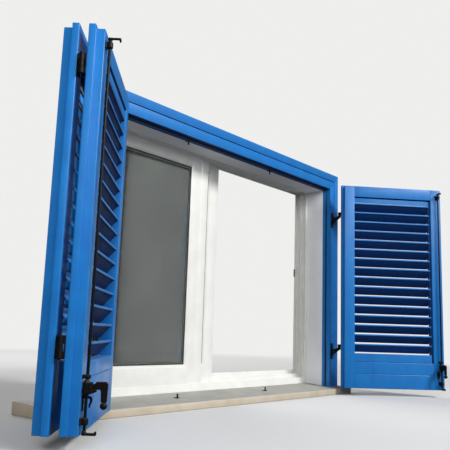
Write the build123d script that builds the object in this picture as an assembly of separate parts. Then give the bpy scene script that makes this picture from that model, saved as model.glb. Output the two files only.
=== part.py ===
from build123d import *
import os
from math import cos, floor, radians

os.makedirs("parts", exist_ok=True)

# A sliding window with louvred shutters, in millimetres.
# X runs to the right along the wall as seen from outside, Y into the wall and Z up.
# The origin is the middle of the stone sill's underside, below the shutter frame's outer face.
# The leaves are modelled closed, then turned about their hinge pins to the open pose.

# Stone sill
sill_front_height = 30.0
sill_projection = 66.0
sill_slope = 0.07
sill_overhang = 32.0
drip_width = 8.0
drip_depth = 5.0
drip_inset = 12.0
sill_edge_chamfer = 3.0

# Shutter frame: a head and two jambs, mitred at the top corners
frame_width = 1864.0
frame_height = 1200.0
frame_face = 90.0
frame_depth = 42.0
groove_inset = 41.0
groove_width = 4.0
groove_depth = 5.0
frame_edge_chamfer = 2.5
lip_width = 10.0
lip_setback = 26.0
gasket_inset = 1.0
gasket_width = 6.0
gasket_thickness = 5.0
fixing_hole_radius = 3.5
fixing_hole_setback = 13.0
fixing_hole_low = 300.0
fixing_hole_high_drop = 420.0

# Reveal linings between the shutter frame and the window
lining_depth = 104.0
lining_thickness = 12.0
lining_setback = 2.0

# Window frame with two tracks
window_depth = 76.0
web_thickness = 8.0
track_base_thickness = 10.0
track_lip_thickness = 4.0
track_lip_cover = 32.0
head_lip_drop = 21.0
front_lip_height = 32.0
middle_lip_height = 50.0
rear_lip_height = 69.0

# Sashes
sash_side_clearance = 3.0
sash_running_clearance = 2.0
sash_foot_clearance = 0.3
sash_head_clearance = 4.0
left_sash_width = 788.0
right_sash_width = 906.0
sash_outer_stile = 78.0
left_sash_inner_stile = 115.0
right_sash_inner_stile = 72.0
sash_top_rail = 66.0
sash_bottom_rail = 108.0
bead_width = 13.0
bead_depth = 7.0
interlock_groove_inset = 41.0
interlock_groove_width = 24.0
interlock_groove_depth = 2.0
glass_thickness = 16.0
glass_seat = 12.0
glazing_gasket_width = 4.0
glazing_gasket_thickness = 3.0

# Latch on the right-hand sash and its strike on the jamb
latch_height = 597.0
latch_plate_width = 24.0
latch_plate_length = 130.0
latch_plate_thickness = 8.0
latch_inset = 34.0
latch_slot_width = 10.0
latch_slot_length = 44.0
latch_slot_depth = 5.0
latch_thumb_length = 30.0
latch_thumb_proud = 5.0
latch_thumb_clearance = 0.3
strike_length = 42.0
strike_width = 6.0
strike_depth = 5.5

# Shutter leaves
leaf_width_allowance = 22.0
leaf_thickness = 45.0
flange_thickness = 20.0
flange_overhang = 10.0
flange_face_gap = 6.0
leaf_side_gap = 3.0
leaf_top_gap = 6.0
leaf_bottom_gap = 4.0
leaf_meeting_gap = 3.0
leaf_fold_gap = 2.0
meeting_tongue = 8.0
hinge_stile_width = 56.0
free_stile_width = 58.0
top_rail_height = 57.0
plank_heights = (76.0, 63.0, 44.0)
plank_chamfer = 1.5
stile_chamfer = 1.5

# Louvre slats
slat_pitch = 51.7
slat_first_rise = 47.0
slat_nose_height = 9.0
slat_nose_depth = 5.0
slat_nose_recess = 4.0
slat_tail_recess = 4.0
slat_body_height = 8.0
slat_fall = 39.0
slat_nose_rounding = 1.5
carrier_slot_width = 11.0
carrier_recess = 15.0
carrier_depth = 20.0

# Jamb hinges: a pintle on the frame and a strap on the leaf
pin_radius = 4.0
pin_running_clearance = 0.06
jamb_pin_inset = 84.0
jamb_pin_setback = -57.0
knuckle_radius = 8.0
knuckle_height = 14.7
knuckle_gap = 0.3
pintle_plate_inset = 55.0
pintle_plate_width = 26.0
pintle_plate_height = 83.0
pintle_plate_thickness = 4.0
pintle_arm_inset = 72.0
pintle_arm_width = 8.0
pintle_block_rise = 51.0
pintle_block_height = 14.0
pintle_low = 150.0
pintle_high_drop = 313.0
strap_thickness = 3.0
strap_length = 62.0
strap_height = 26.0
strap_arm_width = 7.0
strap_arm_offset = 3.0
screw_head_radius = 3.6
screw_head_height = 1.6
screw_edge_distance = 10.8

# Folding hinges between the two left-hand leaves
fold_pin_proud = 13.0
fold_pin_radius = 3.0
fold_knuckle_radius = 7.0
fold_hinge_height = 60.0
fold_hinge_low = 195.0
fold_hinge_high_drop = 234.0
fold_plate_width = 40.0
fold_plate_thickness = 3.0

# Locking rods with hooks, and the pins that the hooks catch
rod_radius = 4.0
rod_standoff = 12.0
rod_inset = 30.0
rod_foot_gap = 5.0
rod_head_gap = 18.0
hook_reach = 31.0
hook_arm_thickness = 5.0
hook_arm_width = 4.0
hook_arm_offset = 1.0
hook_hub_radius = 7.0
hook_nib_width = 7.0
hook_lip_drop = 5.5
guide_width = 26.0
guide_height = 19.0
guide_base_thickness = 3.0
guide_block_radius = 9.0
guide_running_clearance = 0.08
guide_heights = (26.0, 142.0)
top_guide_drop = 50.0
middle_guide_height = 11.0
keeper_offset_x = -20.0
keeper_offset_y = -3.0
keeper_pin_radius = 3.5
keeper_pin_length = 19.0
keeper_base_width = 20.0
keeper_base_depth = 17.0
keeper_base_height = 3.0
keeper_base_margin = 1.0

# Lever handles on the rods
hub_foot = 104.0
hub_height = 30.0
hub_width = 22.0
hub_front = 14.0
hub_slot_width = 8.4
hub_slot_start = 4.5
hub_floor_height = 10.7
hub_shelf_reach = 26.0
hub_shelf_thickness = 6.0
lever_pivot_height = 17.0
lever_pivot_reach = 9.0
lever_pivot_radius = 2.5
lever_pivot_clearance = 0.06
lever_root_radius = 4.4
lever_root_width = 7.8
lever_thickness = 9.0
lever_arm_start = 22.0
lever_reach = 55.0
lever_arm_foot = 11.0
lever_arm_height = 21.0
lever_drop_width = 19.0
lever_drop_foot = -20.0
lever_drop_taper = 2.0
lever_ball_radius = 9.7
lever_ball_height = -29.0
lever_corner_radius = 6.0

# Catch that the lever rests over
catch_offset = 16.0
catch_width = 10.0
catch_base_height = 44.0
catch_foot = 58.0
catch_reach = 26.0
catch_thickness = 4.0
catch_tail_drop = 22.0

# The open pose, as angles from closed
leaf_a_open = 138.5
leaf_b_fold = 180.0
leaf_c_open = 135.5

# Derived places
frame_left = -frame_width / 2
frame_right = frame_width / 2
seat_height = sill_front_height + sill_slope * sill_projection
window_front = frame_depth + lining_depth
window_back = window_front + window_depth
window_seat = seat_height + sill_slope * window_front
frame_top = seat_height + frame_height
opening_left = frame_left + frame_face
opening_right = frame_right - frame_face
lining_face = frame_face + lip_width - lining_setback
lining_outer = lining_face - lining_thickness
lining_left = frame_left + lining_outer
lining_right = frame_right - lining_outer
lining_underside = frame_top - lining_face
window_top = lining_underside + lining_thickness
web_left = lining_left + web_thickness
web_right = lining_right - web_thickness
web_underside = window_top - web_thickness
track_top = window_seat + track_base_thickness
lip_left = lining_left + track_lip_cover
lip_right = lining_right - track_lip_cover
track_middle = window_front + (window_depth - track_lip_thickness) / 2

leaf_ext = -flange_face_gap - flange_thickness
leaf_mid = -flange_face_gap
leaf_int = leaf_ext + leaf_thickness
leaf_foot = seat_height + leaf_bottom_gap
leaf_top = frame_top - frame_face - leaf_top_gap
flange_top = leaf_top + flange_overhang
leaf_width = (opening_right - opening_left - leaf_width_allowance) / 3
leaf_a_left = opening_left + leaf_side_gap
leaf_a_right = leaf_a_left + leaf_width
leaf_c_right = opening_right - leaf_side_gap
leaf_c_left = leaf_c_right - leaf_width
fold_line = leaf_a_right + flange_overhang + leaf_fold_gap / 2
leaf_b_left = fold_line + leaf_fold_gap / 2 + flange_overhang
leaf_b_ext_right = leaf_c_left - flange_overhang - leaf_meeting_gap
leaf_b_right = leaf_b_ext_right + meeting_tongue
rail_underside = leaf_top - top_rail_height

pin_a_x = frame_left + jamb_pin_inset
pin_c_x = frame_right - jamb_pin_inset
pin_y = jamb_pin_setback
pintle_heights = (pintle_low, frame_height - pintle_high_drop)
fold_pin_y = leaf_ext - fold_pin_proud
fold_hinge_heights = (fold_hinge_low, frame_height - fold_hinge_high_drop)
rod_y = leaf_int + rod_standoff
rod_a_x = leaf_a_right + flange_overhang - rod_inset
rod_c_x = leaf_c_left - flange_overhang + rod_inset
rod_foot = seat_height + rod_foot_gap
rod_top = leaf_top - rod_head_gap


def sill_top(y):
    """Height of the sill's upper face at a depth, sloped outside the window's seat."""
    return seat_height + sill_slope * min(y, window_front)


def block(x0, x1, y0, y1, z0, z1):
    """A box between two corners."""
    middle = Pos((x0 + x1) / 2, (y0 + y1) / 2, (z0 + z1) / 2)
    return middle * Box(x1 - x0, y1 - y0, z1 - z0)


def bar_x(points, x0, x1):
    """A bar along X whose section is a list of (Y, Z) points."""
    plane = Plane(origin=(x0, 0, 0), x_dir=(0, 1, 0), z_dir=(1, 0, 0))
    return extrude(plane * make_face(Polyline(*points, close=True)), amount=x1 - x0)


def bar_y(points, y0, y1):
    """A bar along Y whose section is a list of (X, Z) points."""
    plane = Plane(origin=(0, y1, 0), x_dir=(1, 0, 0), z_dir=(0, -1, 0))
    return extrude(plane * make_face(Polyline(*points, close=True)), amount=y1 - y0)


def bar_z(points, z0, z1):
    """A bar along Z whose section is a list of (X, Y) points."""
    plane = Plane(origin=(0, 0, z0))
    return extrude(plane * make_face(Polyline(*points, close=True)), amount=z1 - z0)


def disc_x(x0, x1, y, z, radius):
    """A cylinder along X."""
    return Pos((x0 + x1) / 2, y, z) * Rot(0, 90, 0) * Cylinder(radius, x1 - x0)


def disc_y(x, y0, y1, z, radius):
    """A cylinder along Y."""
    return Pos(x, (y0 + y1) / 2, z) * Rot(90, 0, 0) * Cylinder(radius, y1 - y0)


def disc_z(x, y, z0, z1, radius):
    """A cylinder along Z."""
    return Pos(x, y, (z0 + z1) / 2) * Cylinder(radius, z1 - z0)


def turned(shape, x, y, angle):
    """A shape turned about a vertical line."""
    return Pos(x, y, 0) * Rot(0, 0, angle) * Pos(-x, -y, 0) * shape


def flipped(shape):
    """The mirror image across the middle of the window."""
    return mirror(shape, about=Plane.YZ)


def group(shapes):
    """Several separate solids as one item."""
    return Compound(children=[solid for shape in shapes for solid in shape.solids()])


def make_sill():
    """Stone slab: sloped outside, level below the window, with a drip groove."""
    front = -sill_projection
    points = [
        (front, 0),
        (front, sill_front_height - sill_edge_chamfer),
        (front + sill_edge_chamfer, sill_front_height + sill_slope * sill_edge_chamfer),
        (window_front, window_seat),
        (window_back, window_seat),
        (window_back, 0),
    ]
    x0 = frame_left - sill_overhang
    x1 = frame_right + sill_overhang
    drip_front = front + drip_inset
    drip = block(x0, x1, drip_front, drip_front + drip_width, 0, drip_depth)
    return bar_x(points, x0, x1) - drip


def under_sill(y0, y1):
    """The space below the sloped upper face, used to cut feet to the slope."""
    points = [(y0, 0), (y0, seat_height + sill_slope * y0), (y1, seat_height + sill_slope * y1), (y1, 0)]
    return bar_x(points, frame_left, frame_right)


def frame_section():
    """Section of the shutter frame as (distance from the outer edge, depth) points."""
    groove_end = groove_inset + groove_width
    lip_edge = frame_face + lip_width
    return [
        (frame_edge_chamfer, 0),
        (groove_inset, 0),
        (groove_inset, groove_depth),
        (groove_end, groove_depth),
        (groove_end, 0),
        (frame_face, 0),
        (frame_face, lip_setback),
        (lip_edge, lip_setback),
        (lip_edge, frame_depth),
        (0, frame_depth),
        (0, frame_edge_chamfer),
    ]


def make_frame_head():
    """Top member, mitred at both ends."""
    bar = bar_x([(depth, frame_top - inset) for inset, depth in frame_section()], frame_left, frame_right)
    size = frame_face + lip_width
    corner = [(frame_left, frame_top), (frame_left, frame_top - size), (frame_left + size, frame_top - size)]
    cut = bar_y(corner, 0, frame_depth)
    return bar - cut - flipped(cut)


def make_frame_jamb():
    """Left-hand upright: mitred at the top, cut to the sill's slope, drilled for fixing."""
    size = frame_face + lip_width
    bar = bar_z([(frame_left + inset, depth) for inset, depth in frame_section()], 0, frame_top)
    corner = [(frame_left, frame_top), (frame_left + size, frame_top), (frame_left + size, frame_top - size)]
    bar = bar - bar_y(corner, 0, frame_depth) - under_sill(0, frame_depth)
    for height in (fixing_hole_low, frame_height - fixing_hole_high_drop):
        hole = disc_x(frame_left, opening_left, fixing_hole_setback, seat_height + height, fixing_hole_radius)
        bar = bar - hole
    return bar


def make_frame_gasket():
    """Rubber strip on the lip that the closed leaves press on."""
    y0 = lip_setback - gasket_thickness
    x0 = opening_left + gasket_inset
    z1 = frame_top - frame_face - gasket_inset
    side = block(x0, x0 + gasket_width, y0, lip_setback, 0, z1)
    top = block(x0, -x0, y0, lip_setback, z1 - gasket_width, z1)
    return side + flipped(side) + top - under_sill(y0, lip_setback)


def make_keeper(rod_x, foot, direction):
    """Pin on a small base. The direction is 1 for a pin that stands up and -1 for one that hangs."""
    x = rod_x + keeper_offset_x
    y = rod_y + keeper_offset_y
    half = keeper_base_width / 2
    y0 = y - keeper_pin_radius - keeper_base_margin
    tip = foot + direction * keeper_pin_length
    base_end = foot + direction * keeper_base_height
    base = block(x - half, x + half, y0, y0 + keeper_base_depth, min(foot, base_end), max(foot, base_end))
    pin = disc_z(x, y, min(foot, tip), max(foot, tip), keeper_pin_radius)
    return base + pin


def make_keepers():
    """Four pins: two under the head and two on the sill, beside the two rods."""
    head_foot = frame_top - frame_face - lip_width
    keepers = []
    for rod_x in (rod_a_x, rod_c_x):
        keepers.append(make_keeper(rod_x, head_foot, -1))
        standing = make_keeper(rod_x, seat_height, 1)
        keepers.append(standing - under_sill(0, frame_depth + keeper_base_depth))
    return group(keepers)


def make_lining_side():
    """Left-hand reveal board, standing on the sloped sill."""
    board = block(lining_left, lining_left + lining_thickness, frame_depth, window_front, 0, lining_underside)
    return board - under_sill(frame_depth, window_front)


def make_lining_head():
    """Board across the top of the reveal."""
    return block(lining_left, lining_right, frame_depth, window_front, lining_underside, window_top)


def track_lips():
    """Depth ranges of the outer, middle and inner lips of the window frame."""
    return [
        (window_front, window_front + track_lip_thickness),
        (track_middle, track_middle + track_lip_thickness),
        (window_back - track_lip_thickness, window_back),
    ]


def make_window_track():
    """Bottom member with three stepped lips that form two tracks."""
    body = block(lining_left, lining_right, window_front, window_back, window_seat, track_top)
    heights = (front_lip_height, middle_lip_height, rear_lip_height)
    for (y0, y1), height in zip(track_lips(), heights):
        body = body + block(lip_left, lip_right, y0, y1, window_seat, window_seat + height)
    return body


def make_window_head():
    """Top member with three lips over the sashes."""
    body = block(lining_left, lining_right, window_front, window_back, web_underside, window_top)
    for y0, y1 in track_lips():
        body = body + block(lip_left, lip_right, y0, y1, window_top - head_lip_drop, window_top)
    return body


def make_window_jamb():
    """Left-hand side member with three lips in front of, between and behind the sashes."""
    body = block(lining_left, web_left, window_front, window_back, track_top, web_underside)
    for y0, y1 in track_lips():
        body = body + block(lining_left, lip_left, y0, y1, track_top, web_underside)
    return body


def make_strike():
    """Latch strike on the edge of the right-hand inner lip."""
    z = window_seat + latch_height
    y1 = window_back
    return block(lip_right - strike_width, lip_right, y1 - strike_depth, y1, z, z + strike_length)


def sash_depths(track):
    """Depth range of a sash in the outer track (0) or the inner one (1)."""
    lips = track_lips()
    y0 = lips[track][1] + sash_running_clearance
    y1 = lips[track + 1][0] - sash_running_clearance
    return y0, y1


def opening_rectangle(x0, x1, z0, z1, y):
    """Rectangle in a plane of constant depth."""
    plane = Plane(origin=((x0 + x1) / 2, y, (z0 + z1) / 2), x_dir=(1, 0, 0), z_dir=(0, -1, 0))
    return plane * Rectangle(x1 - x0, z1 - z0)


def make_sash(x0, width, track, left_stile, right_stile):
    """Frame, glass and glazing gasket of one sash."""
    x1 = x0 + width
    y0, y1 = sash_depths(track)
    z0 = track_top + sash_foot_clearance
    z1 = web_underside - sash_head_clearance
    a, b = x0 + left_stile, x1 - right_stile
    c, d = z0 + sash_bottom_rail, z1 - sash_top_rail
    g0 = (y0 + y1 - glass_thickness) / 2
    g1 = g0 + glass_thickness
    seat = block(a - glass_seat, b + glass_seat, g0, g1, c - glass_seat, d + glass_seat)
    bevel = loft([
        opening_rectangle(a - bead_width, b + bead_width, c - bead_width, d + bead_width, y0),
        opening_rectangle(a, b, c, d, y0 + bead_depth),
    ])
    ring = block(x0, x1, y0, y1, z0, z1) - block(a, b, y0, y1, c, d) - seat - bevel
    w = glazing_gasket_width
    gasket = block(a, b, g0 - glazing_gasket_thickness, g0, c, d)
    gasket = gasket - block(a + w, b - w, g0 - glazing_gasket_thickness, g0, c + w, d - w)
    return ring, seat, gasket


def make_sashes():
    """The outer sash on the left, and the inner sash slid open behind it."""
    x0 = web_left + sash_side_clearance
    left = make_sash(x0, left_sash_width, 0, sash_outer_stile, left_sash_inner_stile)
    right = make_sash(x0, right_sash_width, 1, sash_outer_stile, right_sash_inner_stile)
    y0, _ = sash_depths(0)
    z0 = track_top + sash_foot_clearance
    z1 = web_underside - sash_head_clearance
    groove_right = x0 + left_sash_width - interlock_groove_inset
    groove_left = groove_right - interlock_groove_width
    groove = block(groove_left, groove_right, y0, y0 + interlock_groove_depth, z0, z1)
    return (left[0] - groove, left[1], left[2]), right


def make_latch():
    """Latch body on the room side of the right-hand sash, and its sliding thumb piece."""
    _, y0 = sash_depths(1)
    x1 = web_left + sash_side_clearance + right_sash_width - latch_inset
    x0 = x1 - latch_plate_width
    z0 = window_seat + latch_height + (strike_length - latch_plate_length) / 2
    y1 = y0 + latch_plate_thickness
    body = block(x0, x1, y0, y1, z0, z0 + latch_plate_length)
    slot_x = (x0 + x1 - latch_slot_width) / 2
    slot_z = z0 + (latch_plate_length - latch_slot_length) / 2
    slot_y = y1 - latch_slot_depth
    body = body - block(slot_x, slot_x + latch_slot_width, slot_y, y1, slot_z, slot_z + latch_slot_length)
    gap = latch_thumb_clearance
    thumb = block(
        slot_x + gap,
        slot_x + latch_slot_width - gap,
        slot_y + gap,
        y1 + latch_thumb_proud,
        slot_z + gap,
        slot_z + gap + latch_thumb_length,
    )
    return body, thumb


def chamfered(x0, x1, y0, y1, size, corners):
    """Rectangle points with some corners cut. Corners are named by their place."""
    points = []
    if "left front" in corners:
        points += [(x0, y0 + size), (x0 + size, y0)]
    else:
        points += [(x0, y0)]
    if "right front" in corners:
        points += [(x1 - size, y0), (x1, y0 + size)]
    else:
        points += [(x1, y0)]
    if "right back" in corners:
        points += [(x1, y1 - size), (x1 - size, y1)]
    else:
        points += [(x1, y1)]
    if "left back" in corners:
        points += [(x0 + size, y1), (x0, y1 - size)]
    else:
        points += [(x0, y1)]
    return points


def make_stile(ext0, ext1, int0, int1, outer_side):
    """Upright of a leaf: an outer layer with the flange and an inner layer inside the frame."""
    outer = chamfered(ext0, ext1, leaf_ext, leaf_mid, stile_chamfer, (outer_side + " front",))
    inner = chamfered(int0, int1, leaf_mid, leaf_int, stile_chamfer, (outer_side + " back",))
    return bar_z(outer, leaf_foot, flange_top) + bar_z(inner, leaf_foot, leaf_top)


def make_top_rail(x0, x1):
    """Cross member at the top of a leaf, with the flange standing above the inner layer."""
    outer = block(x0, x1, leaf_ext, leaf_mid, rail_underside, flange_top)
    inner = block(x0, x1, leaf_mid, leaf_int, rail_underside, leaf_top)
    return outer + inner


def make_planks(x0, x1):
    """Three stacked boards below the slats. The top one stops short, beside the carrier's slot."""
    planks = []
    z = leaf_foot
    for index, height in enumerate(plank_heights):
        top_one = index == len(plank_heights) - 1
        end = x1 - carrier_slot_width if top_one else x1
        corners = ("left front", "right front", "right back", "left back")
        section = chamfered(leaf_ext, leaf_int, z, z + height, plank_chamfer, corners)
        planks.append(bar_x(section, x0, end))
        z += height
    return group(planks)


def slat_section(height):
    """Section of one slat: a rounded nose inside and a body that falls towards the outside."""
    nose_front = leaf_int - slat_nose_recess
    nose_back = nose_front - slat_nose_depth
    tail = leaf_ext + slat_tail_recess
    half = slat_nose_height / 2
    r = slat_nose_rounding
    return [
        (nose_front, height + half - r),
        (nose_front - r, height + half),
        (nose_back, height + half),
        (tail, height + half - slat_fall),
        (tail, height + half - slat_fall - slat_body_height),
        (nose_back, height + half - slat_body_height),
        (nose_back, height - half),
        (nose_front - r, height - half),
        (nose_front, height - half + r),
    ]


def make_slats(x0, x1):
    """All slats of a leaf, as separate pieces at an even pitch."""
    plank_top = leaf_foot + sum(plank_heights)
    first = plank_top + slat_first_rise
    count = 1 + floor((rail_underside - slat_nose_height / 2 - first) / slat_pitch)
    return group([bar_x(slat_section(first + i * slat_pitch), x0, x1) for i in range(count)])


def make_carrier(x0, x1):
    """Upright strip in the slot beside the slats that carries their ends."""
    y1 = leaf_int - carrier_recess
    foot = leaf_foot + sum(plank_heights[:-1])
    return block(x0, x1, y1 - carrier_depth, y1, foot, rail_underside)


def make_leaf(left, right, free_ext):
    """A closed leaf hinged on its left. The outer layer of its free stile ends at free_ext."""
    x0 = left + hinge_stile_width
    x1 = right - free_stile_width
    slot = x1 - carrier_slot_width
    return {
        "hinge_stile": make_stile(left - flange_overhang, x0, left, x0, "left"),
        "free_stile": make_stile(x1, free_ext, x1, right, "right"),
        "top_rail": make_top_rail(x0, x1),
        "planks": make_planks(x0, x1),
        "slats": make_slats(x0, slot),
        "slat_carrier": make_carrier(slot, x1),
    }


def make_pintle(height):
    """Left-hand frame hinge: plate, raised arm, block and a pin that stands up."""
    z0 = seat_height + height
    plate_x = frame_left + pintle_plate_inset
    arm_x = frame_left + pintle_arm_inset
    block_foot = z0 + pintle_block_rise
    block_top = block_foot + pintle_block_height
    y_plate = -pintle_plate_thickness
    plate = block(plate_x, plate_x + pintle_plate_width, y_plate, 0, z0, z0 + pintle_plate_height)
    arm = bar_x(
        [
            (y_plate, z0 + pintle_block_height),
            (y_plate, block_foot),
            (pin_y, block_top),
            (pin_y, block_foot),
        ],
        arm_x,
        arm_x + pintle_arm_width,
    )
    boss = disc_z(pin_a_x, pin_y, block_foot, block_top, knuckle_radius)
    pin = disc_z(pin_a_x, pin_y, block_top, block_top + knuckle_gap + knuckle_height, pin_radius)
    return plate + arm + boss + pin


def make_pintles():
    """Four hinge pintles, two on each jamb."""
    left = [make_pintle(height) for height in pintle_heights]
    return group(left + [flipped(pintle) for pintle in left])


def make_pintle_screws():
    """Two screw heads on each pintle's plate."""
    x = frame_left + (pintle_plate_inset + pintle_arm_inset) / 2
    y0 = -pintle_plate_thickness - screw_head_height
    y1 = -pintle_plate_thickness
    heads = []
    for height in pintle_heights:
        for rise in (screw_edge_distance, pintle_plate_height - screw_edge_distance):
            heads.append(disc_y(x, y0, y1, seat_height + height + rise, screw_head_radius))
    return group(heads + [flipped(head) for head in heads])


def strap_foot(height):
    """Lower edge of the leaf's knuckle on a pintle."""
    return seat_height + height + pintle_block_rise + pintle_block_height + knuckle_gap


def make_strap(height):
    """Leaf half of a left-hand jamb hinge: knuckle, standoff arm and plate."""
    z0 = strap_foot(height)
    z1 = z0 + knuckle_height
    x0 = pin_a_x + strap_arm_offset
    knuckle = disc_z(pin_a_x, pin_y, z0, z1, knuckle_radius)
    arm = block(x0, x0 + strap_arm_width, pin_y, leaf_ext, z0, z1)
    middle = (z0 + z1) / 2
    plate = block(
        x0,
        x0 + strap_length,
        leaf_ext - strap_thickness,
        leaf_ext,
        middle - strap_height / 2,
        middle + strap_height / 2,
    )
    bore = disc_z(pin_a_x, pin_y, z0, z1, pin_radius + pin_running_clearance)
    return knuckle + arm + plate - bore


def make_straps():
    """Both straps of a leaf hinged on the left jamb."""
    return group([make_strap(height) for height in pintle_heights])


def make_strap_screws():
    """Two screw heads on each strap."""
    heads = []
    y1 = leaf_ext - strap_thickness
    start = pin_a_x + strap_arm_offset + strap_arm_width + screw_edge_distance
    end = pin_a_x + strap_arm_offset + strap_length - screw_edge_distance
    for height in pintle_heights:
        z = strap_foot(height) + knuckle_height / 2
        for x in (start, end):
            heads.append(disc_y(x, y1 - screw_head_height, y1, z, screw_head_radius))
    return group(heads)


def fold_hinge_half(side, ranges, bored):
    """Half of a folding hinge. The side is -1 for the first leaf and 1 for the second."""
    halves = []
    reach = leaf_fold_gap / 2
    plate_y = leaf_ext - fold_plate_thickness
    for height in fold_hinge_heights:
        z0 = seat_height + height
        near, far = fold_line + side * reach, fold_line + side * (reach + fold_plate_width)
        half = block(min(near, far), max(near, far), plate_y, leaf_ext, z0, z0 + fold_hinge_height)
        outer = fold_line + side * fold_knuckle_radius
        for low, high in ranges:
            half = half + disc_z(fold_line, fold_pin_y, z0 + low, z0 + high, fold_knuckle_radius)
            half = half + block(min(near, outer), max(near, outer), fold_pin_y, plate_y, z0 + low, z0 + high)
            if bored:
                bore_radius = fold_pin_radius + pin_running_clearance
                half = half - disc_z(fold_line, fold_pin_y, z0 + low, z0 + high, bore_radius)
        if not bored:
            half = half + disc_z(fold_line, fold_pin_y, z0, z0 + fold_hinge_height, fold_pin_radius)
        halves.append(half)
    return group(halves)


def make_fold_hinges():
    """Outer knuckles with the riveted pin for the first leaf, middle knuckle for the second."""
    third = fold_hinge_height / 3
    first = fold_hinge_half(-1, ((0, third), (2 * third, fold_hinge_height)), False)
    second = fold_hinge_half(1, ((third + knuckle_gap, 2 * third - knuckle_gap),), True)
    return first, second


def make_guide(rod_x, foot, height):
    """Bracket on the leaf's inner face that a rod turns in."""
    half = guide_width / 2
    base = block(rod_x - half, rod_x + half, leaf_int, leaf_int + guide_base_thickness, foot, foot + height)
    r = guide_block_radius
    neck = block(rod_x - r, rod_x + r, leaf_int, rod_y, foot, foot + height)
    loop = disc_z(rod_x, rod_y, foot, foot + height, r)
    bore = disc_z(rod_x, rod_y, foot, foot + height, rod_radius + guide_running_clearance)
    return base + neck + loop - bore


def make_guides(rod_x):
    """Bottom, middle and top guides of one rod."""
    low, middle = (leaf_foot + rise for rise in guide_heights)
    return group([
        make_guide(rod_x, low, guide_height),
        make_guide(rod_x, middle, middle_guide_height),
        make_guide(rod_x, leaf_top - top_guide_drop, guide_height),
    ])


def make_hook(rod_x, foot, lip_direction):
    """Crank arm whose nib wraps round a keeper pin when the rod turns."""
    top = foot + hook_arm_thickness
    x0 = rod_x + hook_arm_offset
    x1 = x0 + hook_arm_width
    tip = rod_y + hook_reach
    hub = disc_z(rod_x, rod_y, foot, top, hook_hub_radius)
    arm = block(x0, x1, rod_y, tip, foot, top)
    nib_foot = foot - hook_lip_drop if lip_direction < 0 else foot
    nib_top = top + hook_lip_drop if lip_direction > 0 else top
    nib = block(x0 - hook_nib_width, x1, tip - hook_arm_width, tip, nib_foot, nib_top)
    return hub + arm + nib


def make_rod(rod_x):
    """Round bar with a welded hook at each end."""
    bar = disc_z(rod_x, rod_y, rod_foot, rod_top, rod_radius)
    low = make_hook(rod_x, rod_foot, 1)
    high = make_hook(rod_x, rod_top - hook_arm_thickness, -1)
    return bar + low + high


def make_hub(rod_x):
    """Boss clamped on the rod, slotted for the lever, with a shelf that the lever rests on."""
    z0 = leaf_foot + hub_foot
    z1 = z0 + hub_height
    half = hub_width / 2
    slot = hub_slot_width / 2
    floor_z = z0 + hub_floor_height
    body = disc_z(rod_x, rod_y, z0, z1, half)
    body = body + block(rod_x - half, rod_x + half, rod_y, rod_y + hub_front, z0, z1)
    shelf_half = lever_thickness / 2
    shelf_end = rod_y + hub_shelf_reach
    shelf_foot = floor_z - hub_shelf_thickness
    shelf = block(rod_x - shelf_half, rod_x + shelf_half, rod_y, shelf_end, shelf_foot, floor_z)
    opening = block(rod_x - slot, rod_x + slot, rod_y + hub_slot_start, rod_y + hub_front, floor_z, z1)
    pivot_y = rod_y + lever_pivot_reach
    pivot = disc_x(rod_x - half, rod_x + half, pivot_y, z0 + lever_pivot_height, lever_pivot_radius)
    rod_hole = disc_z(rod_x, rod_y, z0, z1, rod_radius)
    return body + shelf - opening + pivot - rod_hole


def make_lever(rod_x):
    """Handle: a pivoted root, a deep flat arm, a hanging grip and a ball end."""
    z0 = leaf_foot + hub_foot
    pivot_y = rod_y + lever_pivot_reach
    pivot_z = z0 + lever_pivot_height
    root_half = lever_root_width / 2
    half = lever_thickness / 2
    arm_y = rod_y + lever_arm_start
    end_y = rod_y + lever_reach
    foot = z0 + lever_arm_foot
    top = foot + lever_arm_height
    drop_y = end_y - lever_drop_width
    eye = disc_x(rod_x - root_half, rod_x + root_half, pivot_y, pivot_z, lever_root_radius)
    neck_foot = pivot_z - lever_root_radius
    neck_top = pivot_z + lever_root_radius
    neck = block(rod_x - root_half, rod_x + root_half, pivot_y, arm_y, neck_foot, neck_top)
    corner = lever_corner_radius
    bevel = corner * (1 - cos(radians(45)))
    outline = [
        (arm_y, foot),
        (arm_y, top),
        (end_y - corner, top),
        (end_y - bevel, top - bevel),
        (end_y, top - corner),
        (end_y - lever_drop_taper, z0 + lever_drop_foot),
        (drop_y + lever_drop_taper, z0 + lever_drop_foot),
        (drop_y, foot),
    ]
    grip = bar_x(outline, rod_x - half, rod_x + half)
    ball = Pos(rod_x, end_y - lever_drop_width / 2, z0 + lever_ball_height) * Sphere(lever_ball_radius)
    hole_radius = lever_pivot_radius + lever_pivot_clearance
    hole = disc_x(rod_x - root_half, rod_x + root_half, pivot_y, pivot_z, hole_radius)
    return eye + neck + grip + ball - hole


def make_catch(rod_x, side):
    """Small bracket beside the rod, below the lever's arm, with a tail that curls down."""
    x = rod_x + side * catch_offset
    x0 = x - catch_width / 2
    x1 = x + catch_width / 2
    z0 = leaf_foot + catch_foot
    z1 = z0 + catch_base_height
    t = catch_thickness
    y0 = leaf_int
    y1 = y0 + catch_reach
    tail_foot = z1 - 2 * t - catch_tail_drop
    base = block(x0, x1, y0, y0 + guide_base_thickness, z0, z1)
    outline = [
        (y0, z1 - 3 * t),
        (y0, z1 - t),
        (y1 - t, z1 - t),
        (y1, z1 - 2 * t),
        (y1 - 2 * t, tail_foot),
        (y1 - 3 * t, tail_foot),
        (y1 - 2 * t, z1 - 3 * t),
    ]
    arm = bar_x(outline, x0, x1)
    return base + arm


def open_a(shape):
    """Place a closed piece of the first leaf in the open pose."""
    return turned(shape, pin_a_x, pin_y, -leaf_a_open)


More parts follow.
